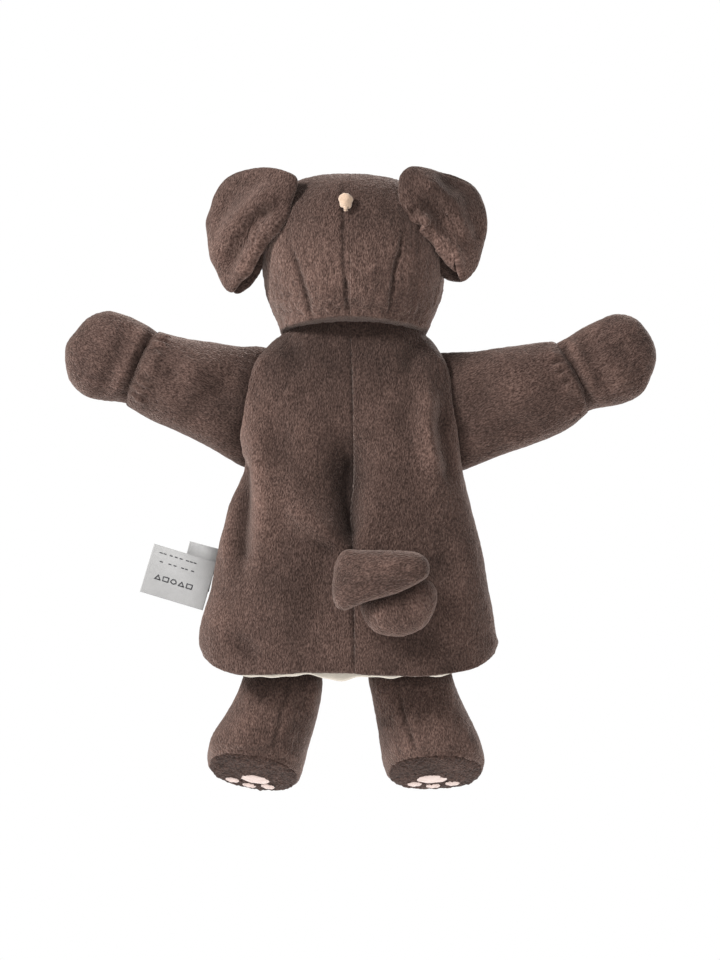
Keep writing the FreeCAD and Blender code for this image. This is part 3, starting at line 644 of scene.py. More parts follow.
# height and half width to each side, in mm
HEAD_LEFT = [(149, 30.6), (153, 31.6), (157, 32.6), (161.6, 34.8), (169.7, 37.6), (180, 39.4), (190, 40),
             (200, 38.6), (208, 36), (214, 32.4), (218.4, 27), (221.2, 20), (222.8, 10), (223.2, 1.0)]
HEAD_RIGHT = [(149, 33.2), (153, 35.4), (157, 37.2), (161.6, 39), (169.7, 41.4), (178, 42.4), (190, 42),
              (200, 40), (208, 36.6), (214, 32), (218, 27), (220.8, 20), (222.4, 10), (223.2, 1.0)]
HEAD_DEPTH = 0.80      # depth behind the middle plane over half width
FACE_DEPTH = 0.74      # depth in front of the middle plane over half width
FILLING_BASE = 164     # height of the bottom of the head's filling
HEAD_POWER = 2.25      # squares the head's rings off a little
STRAND_SCALE = 1.5     # the knot's thread is finer than the lining's
HEAD_SEAMS = [
    ([(1.3, 157), (1.4, 170), (2.6, 181), (2.8, 192), (3.0, 219)], 0.7, 0.9),
    ([(17, 157.5), (22.5, 177.8), (26.3, 189)], 0.75, 1.1),
    ([(-16.4, 158), (-17.8, 164), (-19.8, 177), (-22, 187), (-23.4, 195)], 0.75, 1.1),
]
# line, width, height and shade: painted shade where the shade is below 0 and a painted highlight where it is
# above 0
HEAD_FOLDS = [
    ([(31, 157), (27, 163)], 2.4, -0.6, -0.22),
    ([(-33, 156), (-29, 163)], 2.4, -0.6, -0.22),
    ([(9, 158), (11, 172), (10, 186)], 4.5, 0.9, 0.06),
    ([(-8, 158), (-9, 172), (-9, 186)], 4.5, 0.9, 0.06),
    ([(2, 206), (2, 214)], 5.0, -1.2, -0.12),
    ([(-4, 205), (-12, 199)], 3.0, -0.8, -0.10),
    ([(30, 190), (34, 172)], 3.0, 0.8, 0.08),
    ([(-31, 186), (-35, 166)], 3.4, 0.8, 0.02),
]


def head_rings(spacing):
    """The head's outline from neck to crown, evenly spaced: half widths to each side and heights."""
    left = curve([(w, z) for z, w in HEAD_LEFT], int(105 / spacing))
    z = left[:, 1]
    return left[:, 0], profile(HEAD_RIGHT, z), z


def head_surface(turn, spacing, inset=0.0):
    wl, wr, z = head_rings(spacing)
    c, s = np.cos(turn)[None], np.sin(turn)[None]
    square = 2 / HEAD_POWER
    wide = np.where(c >= 0, wl[:, None], wr[:, None])
    wide = np.maximum(wide - inset, 0.3)
    x = wide * bowed(c, square)
    deep = np.where(s >= 0, HEAD_DEPTH, FACE_DEPTH) * (wl + wr)[:, None] / 2
    neck = 1 - 0.55 * smooth((153.4 - z) / 2.8)[:, None]
    y = np.maximum(deep * neck - inset, 0.3) * bowed(s, square)
    share = 1 - np.abs(x / wide) ** 2
    arch = 5.0 * smooth((168 - z) / 14)[:, None] * share
    height = z[:, None] + arch - inset * smooth((z[:, None] - 205) / 15)
    return np.stack([x, y, height], -1)


def head_turns(start, end, spacing):
    """Turns that divide the head's widest ring evenly."""
    fine = np.linspace(start, end, 500)
    ring = np.stack([41 * bowed(np.cos(fine), 0.89), 32 * bowed(np.sin(fine), 0.89)], 1)
    return even_turns(fine, ring, spacing)


def make_head():
    half = math.pi / 2
    parts = {"head_back_left": (0, half), "head_back_right": (half, 2 * half),
             "face_right": (2 * half, 3 * half), "face_left": (3 * half, 4 * half)}
    for name, (start, end) in parts.items():
        is_front = name.startswith("face")
        grid = head_surface(head_turns(start, end, STEP), STEP)
        middle = [([(0, 158), (0, 190), (0, 221)], 1.0, 0.8)]
        low = smooth((196 - grid[..., 2]) / 30)
        folds = [] if is_front else HEAD_FOLDS
        seams = middle if is_front else HEAD_SEAMS
        grid, shade = plush(grid, False, folds, None, 0.16, 0.34, 0.35 + 0.65 * low, seams, is_front)
        row = head_rings(STEP)[2][:, None]
        lit_side = np.clip(grid[..., 0] / 40, -1, 1)
        # painted shade under the head's bottom edge, where it rolls in over the collar, and painted light
        # that makes the head lighter low down than at its crown
        shade = shade * (1 - 0.75 * smooth((153.6 - row) / 1.6)) * (1.34 - 0.50 * smooth((row - 176) / 34))
        # painted light: the head's left (+x) side a little lighter than its right
        shade = shade * (1 + 0.03 * lit_side)
        obj = cloth(name + "_cloth", grid, 1.4, False, BROWN, grid, shade)
        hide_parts(name)
        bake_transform(obj)
    filling = head_surface(np.linspace(0, 2 * math.pi, 120, endpoint=False), COARSE, 2.6)
    filling = filling[filling[:, 0, 2] > FILLING_BASE]
    obj = stuffed("head_filling", filling, FIBRE)
    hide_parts("head_stuffing")
    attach(obj, "head")
    pocket_low, pocket_high = box_mm("finger_pocket")
    radius = (pocket_high[0] - pocket_low[0]) / 2
    turn = np.linspace(0, 2 * math.pi, 72, endpoint=False)
    rings = []
    for z in np.linspace(pocket_low[2], pocket_high[2] - radius, 30):
        rings.append(np.stack([radius * np.cos(turn), radius * np.sin(turn), np.full(72, z)], 1))
    for a in np.linspace(0.1, 1.5, 12):
        rings.append(np.stack([radius * math.cos(a) * np.cos(turn), radius * math.cos(a) * np.sin(turn),
                               np.full(72, pocket_high[2] - radius + radius * math.sin(a))], 1))
    obj = cloth("finger_pocket_cloth", np.array(rings), 0.8, True, LINING)
    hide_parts("finger_pocket")
    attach(obj, "neck")


def surface_y(x, z):
    """How far back the head's outside is at x, z."""
    wide = profile(HEAD_LEFT if x >= 0 else HEAD_RIGHT, z)
    deep = HEAD_DEPTH * wide
    return float(deep * max(1 - abs(x / wide) ** HEAD_POWER, 0) ** (1 / HEAD_POWER))


def ball(radii, around, upward, margin):
    """A grid for an ellipsoid round the origin, open by a small angle at each pole."""
    turn = np.linspace(0, 2 * math.pi, around, endpoint=False)
    rise = np.linspace(-math.pi / 2 + margin, math.pi / 2 - margin, upward)
    t, r = np.meshgrid(turn, rise)
    return np.stack([radii[0] * np.cos(r) * np.cos(t), radii[1] * np.cos(r) * np.sin(t),
                     radii[2] * np.sin(r)], -1)


def lump(name, centre, radii, material, spacing=0.5, warp=0.0, size=2.0):
    """A small closed form with an uneven surface."""
    around = max(24, int(2 * math.pi * max(radii) / spacing))
    upward = max(16, int(math.pi * max(radii) / spacing))
    grid = ball(radii, around, upward, 0.05)
    grid = grid + outward(grid, True) * (warp * noise(grid + 31.0, (size,) * 3, 21))[..., None]
    return stuffed(name, grid + np.array(centre), material)


def tube(path, radius, sides=16):
    """A grid for a tube along a path of points."""
    path = np.array(path, float)
    ahead = np.gradient(path, axis=0)
    ahead /= np.linalg.norm(ahead, axis=1, keepdims=True)
    side = np.cross(ahead, np.array([0.13, 0.2, 0.97]))
    side /= np.linalg.norm(side, axis=1, keepdims=True)
    up = np.cross(side, ahead)
    turn = np.linspace(0, 2 * math.pi, sides, endpoint=False)
    wide = radius * np.ones(len(path)) if np.isscalar(radius) else radius
    ring = np.cos(turn)[None, :, None] * side[:, None] + np.sin(turn)[None, :, None] * up[:, None]
    return right_way_out(path[:, None] + ring * wide[:, None, None])


def make_knot():
    """The tan cord's knot on the back of the head: a ball wound tight, with one short end."""
    low, high = box_mm("cord_knot")
    centre = (low + high) / 2 + np.array((1.8, 0, -2.4))
    centre[1] = surface_y(centre[0], centre[2]) + 0.6
    turn = np.linspace(0, 2 * math.pi, 48, endpoint=False)
    rise = np.linspace(-math.pi / 2 + 0.04, math.pi / 2 - 0.04, 40)
    t, r = np.meshgrid(turn, rise)
    wound = 1 + 0.09 * np.cos(r) * np.sin(2 * t + 4.5 * r) + 0.03 * np.cos(r) * np.sin(5 * t - 3 * r)
    waist = np.cos(r) ** 0.72
    core = np.stack([3.1 * waist * np.cos(t), 2.5 * waist * np.sin(t),
                     3.4 * np.sin(r) + 0.3 * waist * np.cos(t)], -1)
    grids = [right_way_out(core * wound[..., None] + centre + np.array((0, 0.9, 0.6)))]
    end = curve([(0.2, 1.6, -1.6), (0.0, 2.2, -2.9), (-0.1, 2.0, -3.9)], 20)
    grids.append(tube(centre + end, 1.0 * np.linspace(1, 0.9, 20)))
    obj = joined("cord_knot_twist", grids, CORD, [grid * STRAND_SCALE for grid in grids])
    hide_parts("cord_knot")
    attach(obj, "head")


def make_face():
    low, high = box_mm("muzzle")
    centre = (low + high) / 2
    half = (high - low) / 2
    grid = ball(half, int(2 * math.pi * half[0] / STEP), int(math.pi * half[2] / STEP), 0.02)
    # two soft cheeks with a groove between them under the nose
    groove = np.exp(-(grid[..., 0] / 1.6) ** 2) * smooth(-grid[..., 1] / half[1])
    groove = groove * smooth((6 - grid[..., 2]) / 6)
    grid = grid * (1 - 0.10 * groove)[..., None] + centre
    grid, shade = plush(grid, True, (), None, 0.14, 0.12)
    shade = shade * 1.12
    obj = stuffed("muzzle_pad", grid, BROWN, grid, shade)
    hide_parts("muzzle")
    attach(obj, "head")
    nose_low, nose_high = box_mm("nose")
    middle = (nose_low + nose_high) / 2
    size = (nose_high - nose_low) / 2
    obj = lump("nose_button", middle, size, NOSE, 0.4, 0.12, 2.0)
    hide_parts("nose")
    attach(obj, "head")
    stitch = []
    for side in (-1, 1):
        a = np.linspace(0, 1, 30)
        x = side * 8.5 * a
        z = centre[2] - 1.5 - 4.2 * np.sin(a * 2.4)
        depth = np.sqrt(np.maximum(1 - (x / half[0]) ** 2 - ((z - centre[2]) / half[2]) ** 2, 0.05))
        stitch.append(np.stack([x + centre[0], centre[1] - half[1] * depth - 0.1, z], 1))
    for k, path in enumerate(stitch):
        obj = stuffed(f"mouth_stitch_{'rl'[k]}", tube(path, 0.55, 10), NOSE)
        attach(obj, "head")
    for side in ("left", "right"):
        low, high = box_mm("eye_" + side)
        obj = lump("eye_bead_" + side, (low + high) / 2, (high - low) / 2, BEAD, 0.35)
        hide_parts("eye_" + side)
        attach(obj, "head")


# ---------------------------------------------------------------- ears

# an ear's folds end in a shade, painted shade below 0 and a painted highlight above 0; dark is the painted
# shade at and above dark_above, and light the painted light 30 mm and more below it
EARS = {
    "left": {
        "outline": [(23.2, 219), (29, 223.2), (38.3, 225), (48.5, 223.8), (56.2, 220.2), (60.6, 214),
                    (62.6, 207.5), (64.9, 200.5), (63.6, 192), (60.8, 181), (57.4, 173), (53.4, 169.6),
                    (50.6, 171.8), (46, 179.8), (40.6, 189.2), (35.4, 195.8), (29.2, 200.6), (26, 208)],
        "centre": (45, 203),
        "flap": [(52, 169.9), (45.6, 171.4), (40.2, 178), (38.4, 186), (39.4, 194), (46, 192), (52, 182)],
        "flap_centre": (45, 183),
        "folds": [
            ([(30, 214.5), (36.4, 212.6), (46, 204), (54, 195), (60, 186)], [3.6, 4.2, 4.0], 4.4, 0.22),
            ([(34, 220), (46, 217), (56, 209), (62, 198)], [3.0, 4.5, 3.0], -1.8, -0.04),
            ([(32, 208), (42, 200), (50, 189), (55, 178)], [2.6, 3.2, 2.4], -2.8, -0.20),
            ([(28, 203), (36, 197.5), (45, 184), (51, 173)], 2.8, 3.6, 0.24),
            ([(58.5, 213), (61.5, 200), (58.5, 182)], 1.8, 0.9, 0.12),
        ],
        "rough": [(32, 212), (38, 202), (46, 190), (52, 178)],
        "dark": 1.0,
        "light": 1.24,
        "dark_above": 215,
        "along": (0.5, -1.0),
    },
    "right": {
        "outline": [(-21.6, 218), (-23, 222), (-27, 224.6), (-34, 224.4), (-41, 222.8), (-48, 221.2),
                    (-54.6, 218.2), (-59, 212), (-61.7, 202), (-60.4, 191.5), (-56.4, 180), (-50.4, 174.6),
                    (-48.4, 178.6), (-43.6, 186), (-38.4, 191.6), (-34.2, 195), (-31.5, 199), (-25, 200.4),
                    (-22, 207)],
        "centre": (-43, 204),
        "flap": [(-50.4, 174.5), (-42.2, 175.8), (-37.5, 180.5), (-35, 191), (-37, 196), (-45, 190),
                 (-50, 181)],
        "flap_centre": (-42, 184.5),
        "folds": [
            ([(-27, 221), (-35, 217), (-44, 211), (-53, 206.5)], [3.0, 3.8, 3.4], 3.8, 0.12),
            ([(-42.5, 208.5), (-50, 200.5), (-56.5, 192)], [2.6, 3.4, 2.6], 3.0, 0.16),
            ([(-36, 221), (-46, 217), (-55, 212)], 3.4, -2.4, -0.26),
            ([(-49, 206), (-55, 199), (-59, 190)], 2.4, -2.2, -0.22),
            ([(-29, 211), (-38, 205), (-46, 196)], 2.8, -2.6, -0.24),
            ([(-31, 199), (-36, 199)], 3.0, 3.0, 0.26),
            ([(-25, 204.5), (-32, 204)], 2.0, -1.8, -0.26),
            ([(-35, 196), (-43, 188), (-50, 177)], 3.0, 3.8, 0.30),
        ],
        "rough": [(-26, 213), (-33, 202), (-42, 192), (-51, 181)],
        "dark": 0.86,
        "light": 1.50,
        "dark_above": 214,
        "along": (-0.45, -1.0),
    },
}
EAR_ROOT = 22.0        # how far the ear's root stands behind the middle plane
EAR_DEPTH = 6.0        # how far an ear bulges to each side of its middle plane
FLAP_DEPTH = 3.0       # the same for the layer folded under it
FLAP_UNDER = 5.2       # how far that layer's middle plane lies in front of the ear's


def ear_plane(x, z):
    """The middle plane of an ear: it leaves the back of the head and falls to the side."""
    out = np.abs(x)
    return EAR_ROOT - 19.0 * smooth((out - 20) / 52)


def make_ears():
    for side, ear in EARS.items():
        sign = 1 if side == "left" else -1
        grid = pillow(ear["outline"], ear["centre"], EAR_DEPTH, ear_plane)
        nap = along(grid, ear["along"])
        behind = grid[..., 1] > ear_plane(grid[..., 0], 0)
        rough = near_line(grid[..., 0], grid[..., 2], ear["rough"], 6.0) * behind
        grid, shade = plush(grid, True, ear["folds"], nap, 0.07, 0.62, rough)
        # painted shade on the ear's upper part and painted light on its lower part
        drop = smooth((ear["dark_above"] - grid[..., 2]) / 30)
        shade = shade * (ear["dark"] + (ear["light"] - ear["dark"]) * drop)
        obj = stuffed(f"ear_{side}_outer", grid, BROWN, nap, shade)
        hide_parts(f"ear_{side}_back")
        under = pillow(ear["flap"], ear["flap_centre"], FLAP_DEPTH, lambda x, z: ear_plane(x, z) - FLAP_UNDER)
        nap = along(under, (0.9 * sign, -0.5))
        under, shade = plush(under, True, (), nap, 0.10, 0.2)
        # the layer under the ear is painted darker, as the shade under the ear
        flap = stuffed(f"ear_{side}_inner", under, BROWN, nap, shade * 0.6)
        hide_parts(f"ear_{side}_front")
        for piece in (obj, flap):
            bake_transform(piece)


# ---------------------------------------------------------------- arms

# an arm's folds end in a shade, painted shade below 0 and a painted highlight above 0
ARMS = {
    "left": {
        "top": [(30, 143.5), (40, 145.6), (49.5, 145.8), (67.5, 148), (80, 150.6), (87.5, 152.5)],
        "bottom": [(34, 88), (46.8, 90.9), (57, 96.6), (67.5, 102.4), (80, 108.4), (91, 113.4),
                   (102.4, 119.8)],
        "paw": [(79, 139), (81.5, 146.5), (87.3, 152.2), (92.5, 155.6), (98.5, 158.8), (104.9, 160.9),
                (110, 161.2), (118, 158.2), (125.2, 150), (128, 143), (126.2, 130.5), (119, 123.3),
                (111.5, 121.3), (103, 120.6), (95, 119.6), (88, 122), (81, 130)],
        "centre": (105, 140),
        "folds": [
            ([(50, 110), (55, 122), (53, 136)], [3.5, 5.0, 3.5], -2.4, -0.16),
            ([(56, 142), (68, 137), (84, 142)], 4.6, 1.8, 0.16),
            ([(55, 134), (64, 124), (74, 108)], 4.0, -1.8, -0.16),
            ([(62, 134), (78, 129)], 4.0, 1.2, 0.10),
            ([(88, 138), (82, 124), (84, 114)], 3.0, 1.2, 0.12),
            ([(78, 138), (82, 128)], 3.0, -1.2, -0.10),
            ([(52, 96), (66, 106), (84, 114)], 2.6, 0.8, 0.08),
            ([(78, 124), (90, 130)], 3.0, -0.8, -0.05),
            ([(88, 148), (96, 138), (100, 124)], 1.8, 0.6, 0.06),
        ],
    },
    "right": {
        "top": [(-32, 141), (-40, 142.4), (-46, 142.8), (-58.5, 143.6), (-76.5, 146.2), (-86, 147.6),
                (-93.2, 147.8)],
        "bottom": [(-36, 86), (-50.9, 90), (-66, 96), (-82, 101.8), (-92, 105.6), (-100.4, 110),
                   (-108.5, 117.6)],
        "paw": [(-83, 136), (-86, 142.5), (-92, 146.6), (-97.5, 149.4), (-103.2, 152.8), (-112, 157.4),
                (-119.7, 160), (-128.3, 157.9), (-135, 150.2), (-137.5, 141.3), (-135.6, 132.3),
                (-131, 124.2), (-121, 119.6), (-109.5, 117.4), (-101, 114), (-93, 116), (-86, 126)],
        "centre": (-112, 137),
        "folds": [
            ([(-53, 110), (-58, 124), (-55, 138)], [3.5, 5.0, 3.5], -2.2, -0.14),
            ([(-58, 141), (-72, 138), (-88, 141)], 4.4, 1.6, 0.14),
            ([(-56, 120), (-70, 111), (-86, 107)], 4.0, -1.8, -0.14),
            ([(-68, 129), (-86, 124)], 4.4, 1.4, 0.10),
            ([(-90, 136), (-95, 124)], 3.0, -1.0, -0.12),
            ([(-56, 94), (-72, 101), (-90, 108)], 2.6, 0.8, 0.08),
            ([(-92, 144), (-100, 132), (-106, 120)], 1.8, 0.6, 0.06),
        ],
    },
}
SLEEVE_DEPTH = [(0.0, 6.0), (0.14, 8.0), (0.32, 14.5), (0.55, 17), (0.8, 15.8), (0.93, 14.8), (1.0, 13.6)]
PAW_DEPTH = 13.6
CUFF_PUCKERS = 17      # puckers round a cuff


def make_arms():
    for side, arm in ARMS.items():
        sign = 1 if side == "left" else -1
        rows = int(75 / STEP)
        top, bottom = curve(arm["top"], rows), curve(arm["bottom"], rows)
        middle, half = (top + bottom) / 2, (top - bottom) / 2
        depth = profile(SLEEVE_DEPTH, np.linspace(0, 1, rows))
        # the last rings turn in, where the cuff is sewn to the paw
        turn_in = 1 - 0.12 * smooth((np.linspace(0, 1, rows) - 0.955) / 0.045) ** 2
        around = np.linspace(0, 2 * math.pi, int(2 * math.pi * 22 / STEP), endpoint=False)
        c, s = np.cos(around), np.sin(around)
        square = 2 / 2.3
        cs, sn = bowed(c, square), bowed(s, square)
        grid = np.zeros((rows, len(around), 3))
        grid[..., 0] = middle[:, :1] + half[:, :1] * turn_in[:, None] * cs
        grid[..., 2] = middle[:, 1:] + half[:, 1:] * turn_in[:, None] * cs
        grid[..., 1] = depth[:, None] * turn_in[:, None] * sn
        grid = right_way_out(grid)
        nap = along(grid, (sign * math.cos(math.radians(19.5)), math.sin(math.radians(19.5))))
        grid, shade = plush(grid, True, arm["folds"], nap, 0.13)
        near_body = np.exp(-((np.abs(grid[..., 0]) - 46) / 5.5) ** 2)
        to_cuff = 1 - np.linspace(0, 1, rows)
        cuff = np.exp(-(to_cuff / 0.022) ** 2)[:, None]
        roll = np.exp(-((to_cuff - 0.09) / 0.04) ** 2)[:, None]
        column = np.arange(grid.shape[1])
        pucker = np.sin(2 * np.pi * column / grid.shape[1] * CUFF_PUCKERS + 3 * np.sin(column / 9))
        flank = smooth((np.abs(outward(grid, True)[..., 1]) - 0.3) / 0.4)
        grid = grid + outward(grid, True) * (flank * roll * (0.8 + 0.9 * pucker))[..., None]
        # painted shade where the sleeve meets the body and in the cuff's seam, and painted highlights on the
        # puckered roll before the cuff
        shade = shade * (1 - 0.36 * near_body) * (1 - 0.45 * cuff) * (1 + roll * (0.08 + 0.16 * pucker))
        obj = cloth(f"sleeve_{side}_cloth", grid, 1.4, True, BROWN, nap, shade)
        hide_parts(f"sleeve_{side}", f"sleeve_lining_{side}")
        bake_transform(obj)

        grid = pillow(arm["paw"], arm["centre"], PAW_DEPTH, fullness=0.62)
        nap = along(grid, (sign * 0.85, 0.5))
        wrist = np.array([arm["top"][-1], arm["bottom"][-1]], float)
        step = np.array((sign * 0.93, 0.36))
        # folds by the wrist seam, with painted shade in the seam and the hollow beyond, and painted
        # highlights on the ridges
        folds = [([tuple(p) for p in wrist + step * 0.6], 1.5, -1.2, -0.50),
                 ([tuple(p) for p in wrist + step * 5.0], 2.2, 1.2, 0.20),
                 ([tuple(p) for p in wrist + step * 10.0], 2.8, -1.0, -0.14),
                 ([tuple(p) for p in wrist + step * 17.0], 3.4, 0.8, 0.08)]
        grid, shade = plush(grid, True, folds, nap, 0.12, 0.10)
        paw = stuffed(f"paw_{side}_pad", grid, BROWN, nap, shade * 1.05)
        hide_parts(f"paw_{side}", f"paw_stuffing_{side}")
        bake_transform(paw)


# ---------------------------------------------------------------- legs

# a leg's folds end in a shade, painted shade below 0 and a painted highlight above 0, and light is painted
# light over the whole leg
LEGS = {
    # rings: middle x, y, z, half width, half depth, lean of the ring about Y and its tilt about X (degrees)
    "left": {
        "rings": [(30.5, -9, 1, 17.4, 9, 0, 0), (30.6, -9, -5, 18.4, 12, 0, 0),
                  (32.8, -10, -14, 19.6, 15, 0, 3), (36.8, -11, -24, 21.0, 18, 3, 8),
                  (41.0, -12, -34, 22.0, 20.5, 6, 15), (43.0, -13, -41.4, 21.8, 22, 9, 21),
                  (43.6, -13.6, -45.4, 21.0, 21.8, 10, 24)],
        "seam": [(27.5, -4), (31, -20), (34.6, -37)],
        "folds": [([(22, -8), (21, -24), (25, -40)], 2.6, -0.9, -0.08),
                  ([(40, -4), (44, -18), (47, -33)], 4.0, 0.8, 0.06),
                  ([(16, -6), (18, -26)], 2.0, 0.6, 0.06)],
        "light": 1.04,
    },
    "right": {
        "rings": [(-26.8, -9, 1, 18.4, 9, 0, 0), (-27.6, -9, -5, 19.2, 12, 0, 0),
                  (-30.2, -10, -14, 20.2, 15, 0, 3), (-33.6, -11, -24, 21.4, 18, 0, 8),
                  (-36.6, -12, -34, 22.8, 20.5, -1, 15), (-38.0, -13, -41.4, 23.0, 22, -1, 21),
                  (-38.4, -13.6, -45.4, 22.0, 21.8, -2, 24)],
        "seam": [(-21.6, -6), (-23.4, -17), (-27.4, -29.7), (-30, -36.5)],
        "folds": [([(-36, -6), (-40, -20), (-44, -34)], 4.0, 0.8, 0.04),
                  ([(-14, -8), (-17, -28)], 2.4, -0.8, -0.06)],
        "light": 1.18,
    },
}


SOLE_POWER = 2 / 2.35  # squares the rings off a little


def tilted_ring(ring, share, count, up=0.0):
    """Points round a ring of a leg; share shrinks it and up lifts it off its own plane."""
    wide, deep = ring[3:5]
    turn = np.linspace(0, 2 * math.pi, count, endpoint=False)
    c, s = np.cos(turn), np.sin(turn)
    x = share * wide * bowed(c, SOLE_POWER)
    y = share * deep * bowed(s, SOLE_POWER)
    return tipped(x, y, np.full(count, float(up)), ring)


def tipped(x, y, z, ring):
    """Points given in a ring's own plane, tilted and leaned with the ring and moved to its middle."""
    x0, y0, z0, _, _, lean, tilt = ring
    a, b = math.radians(tilt), math.radians(lean)
    y, z = y * math.cos(a) - z * math.sin(a), y * math.sin(a) + z * math.cos(a)
    x, z = x * math.cos(b) - z * math.sin(b), x * math.sin(b) + z * math.cos(b)
    return np.stack([x0 + x, y0 + y, z0 + z], 1)


def make_legs():
    count = int(2 * math.pi * 21 / STEP)
    for side, leg in LEGS.items():
        rings = curve(leg["rings"], int(62 / STEP))
        grid = [tilted_ring(r, 1, count) for r in rings]
        last = rings[-1]
        for k in range(1, 6):
            a = k / 5 * math.pi / 2
            grid.append(tilted_ring(last, 1 - 0.07 * math.sin(a) ** 2, count, -1.6 * math.sin(a)))
        for share in np.linspace(0.9, 0.05, 24):
            grid.append(tilted_ring(last, share, count, -1.2))
        first = rings[0]
        cap = [tilted_ring(first, math.sin(a), count, 5 * math.cos(a)) for a in np.linspace(0.1, 1.5, 18)]
        grid = right_way_out(np.array(cap + grid))
        grid, shade = plush(grid, True, leg["folds"], None, 0.12, 0.05, seams=[(leg["seam"], 0.9, 0.8)])
        # painted shadow under the hem: the leg gets darker up towards the hem
        under_hem = smooth((grid[..., 2] + 12) / 12)
        obj = stuffed(f"leg_{side}_plush", grid, BROWN, grid, shade * leg["light"] * (1 - 0.5 * under_hem))
        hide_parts(f"leg_{side}", f"leg_stuffing_{side}")
        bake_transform(obj)
        make_sole(side, last)


def make_sole(side, last):
    """The sole and the stitched pads on it."""
    count = int(2 * math.pi * 21 / STEP)
    sole = []
    for a in np.linspace(0.03, math.pi - 0.03, 90):
        dome = math.copysign(abs(math.cos(a)) ** 0.6, math.cos(a))
        sole.append(tilted_ring(last, 0.95 * math.sin(a), count, -1.4 - 1.9 * dome))
    grid = right_way_out(np.array(sole))
    nap = grid[..., [0, 2, 1]]
    grid, shade = plush(grid, True, (), nap, 0.22, 0.30)
    obj = stuffed(f"sole_{side}_plush", grid, SOLE, nap, shade)
    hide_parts(f"sole_{side}")
    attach(obj, f"{side}_leg")
    wide, deep = last[3:5]
    sign = -1 if side == "left" else 1
    # place across and towards the toes, then half width and half length, as shares of the sole's halves
    places = [(0.06 * sign, 0.20, 0.32, 0.22), (-0.36, 0.50, 0.15, 0.12), (0.04, 0.61, 0.15, 0.11),
              (0.42, 0.47, 0.15, 0.12)]
    pads = []
    turn = np.linspace(0, 2 * math.pi, 60, endpoint=False)
    for px, py, wx, wy in places:
        rings = []
        for a in np.linspace(0.08, math.pi - 0.08, 18):
            x = wide * (px + wx * math.sin(a) * np.cos(turn))
            y = deep * (-py + wy * math.sin(a) * np.sin(turn))
            z = np.full(60, -3.2 - 0.7 * math.cos(a)) + 0.12 * np.sin(6 * turn) * math.sin(a)
            rings.append(tipped(x, y, z, last))
        pads.append(right_way_out(np.array(rings)))
    obj = joined(f"pads_{side}_stitched", pads, PINK, [pad[..., [0, 2, 1]] for pad in pads])
    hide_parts(f"pads_{side}")
    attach(obj, f"{side}_leg")


# ---------------------------------------------------------------- tail

TAIL_UPPER = [(3.4, 53.6), (-6, 54.6), (-20, 54.4), (-31, 53.2), (-35, 48.2), (-33.4, 42), (-22.5, 36.4),
              (-7, 31.6), (2.6, 28.3), (7.2, 32.4), (7.4, 43)]
TAIL_LOWER = [(-31, 42), (-36.4, 40), (-38.8, 34), (-36.4, 26), (-32, 20), (-22, 16.3), (-12, 17.6),
              (-6.2, 24), (-5.2, 31.5), (-15, 37), (-24, 40.5)]


def make_tail():
    """A fat tail in two turns: an upper one that crosses to the right and a lower one that comes back."""
    upper = pillow(TAIL_UPPER, (-13, 43), 10.5, lambda x, z: 40.0 - 0.10 * x, fullness=0.62)
    lower = pillow(TAIL_LOWER, (-21, 30), 10.0, lambda x, z: 35.5 + 0.05 * x, fullness=0.66)
    # the crease between the turns is painted shade on the lower turn and a painted highlight on the upper
    # turn's edge; the other folds end in a shade, painted shade below 0 and a painted highlight above 0
    crease = [(-34, 42), (-22, 37), (-8, 32.5), (0, 29.5)]
    upper_folds = [([(4, 36), (2, 50)], 2.6, -0.9, -0.10), ([(-4, 47), (-26, 49)], 3.4, 0.9, 0.12),
                   ([(0, 36), (-28, 43.5)], 2.6, -0.7, -0.08), (crease, 1.6, 0.3, 0.16)]
    lower_folds = [(crease, 3.2, -0.8, -0.55), ([(-30, 34), (-30, 24)], 2.4, 0.8, 0.10),
                   ([(-24, 36), (-25, 22)], 2.2, -0.7, -0.10), ([(-12, 22), (-14, 30)], 2.8, 0.6, 0.08)]
    turn = np.linspace(0, 2 * math.pi, 60, endpoint=False)
    root = np.array([np.stack([-6 + 9 * np.cos(turn), np.full(60, y), 40 + 9 * np.sin(turn)], 1)
                     for y in np.linspace(22, 36, 12)])
    # each part's surface, the way its pile lies, its folds and how much painted light lightens it
    parts = ((upper, (1.0, -0.15), upper_folds, 1.0), (lower, (0.3, 1.0), lower_folds, 1.35),
             (right_way_out(root), (1.0, 0.0), (), 1.0))
    grids, naps, shades = [], [], []
    for surface, direction, folds, light in parts:
        nap = along(surface, direction)
        grid, shade = plush(surface, True, folds, nap, 0.12, 0.12)
        grids.append(grid)
        naps.append(nap)
        shades.append(shade * light)
    obj = joined("tail_curl", grids, BROWN, naps, shades)
    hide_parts("tail", "tail_stuffing")
    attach(obj, "tail")


# ---------------------------------------------------------------- labels


def label_grid(corner, across, down, width, length, bend, rows, cols, y0):
    """A label's outer face: a rectangle from its seam corner, with a soft bend towards the back."""
    a = np.array(across, float) / math.hypot(*across)
    d = np.array(down, float) / math.hypot(*down)
    u, v = np.meshgrid(np.linspace(0, 1, cols), np.linspace(0, 1, rows))
    grid = np.zeros((rows, cols, 3))
    grid[..., 0] = corner[0] + a[0] * u * width + d[0] * v * length
    grid[..., 2] = corner[1] + a[1] * u * width + d[1] * v * length
    ripple = 0.7 * np.sin(u * 5 + v * 2.4)
    grid[..., 1] = y0 + bend * np.sin(u * 2.6 + 0.3) * (1 - 0.5 * v) + ripple + 0.5 * np.sin(v * 4)
    return grid


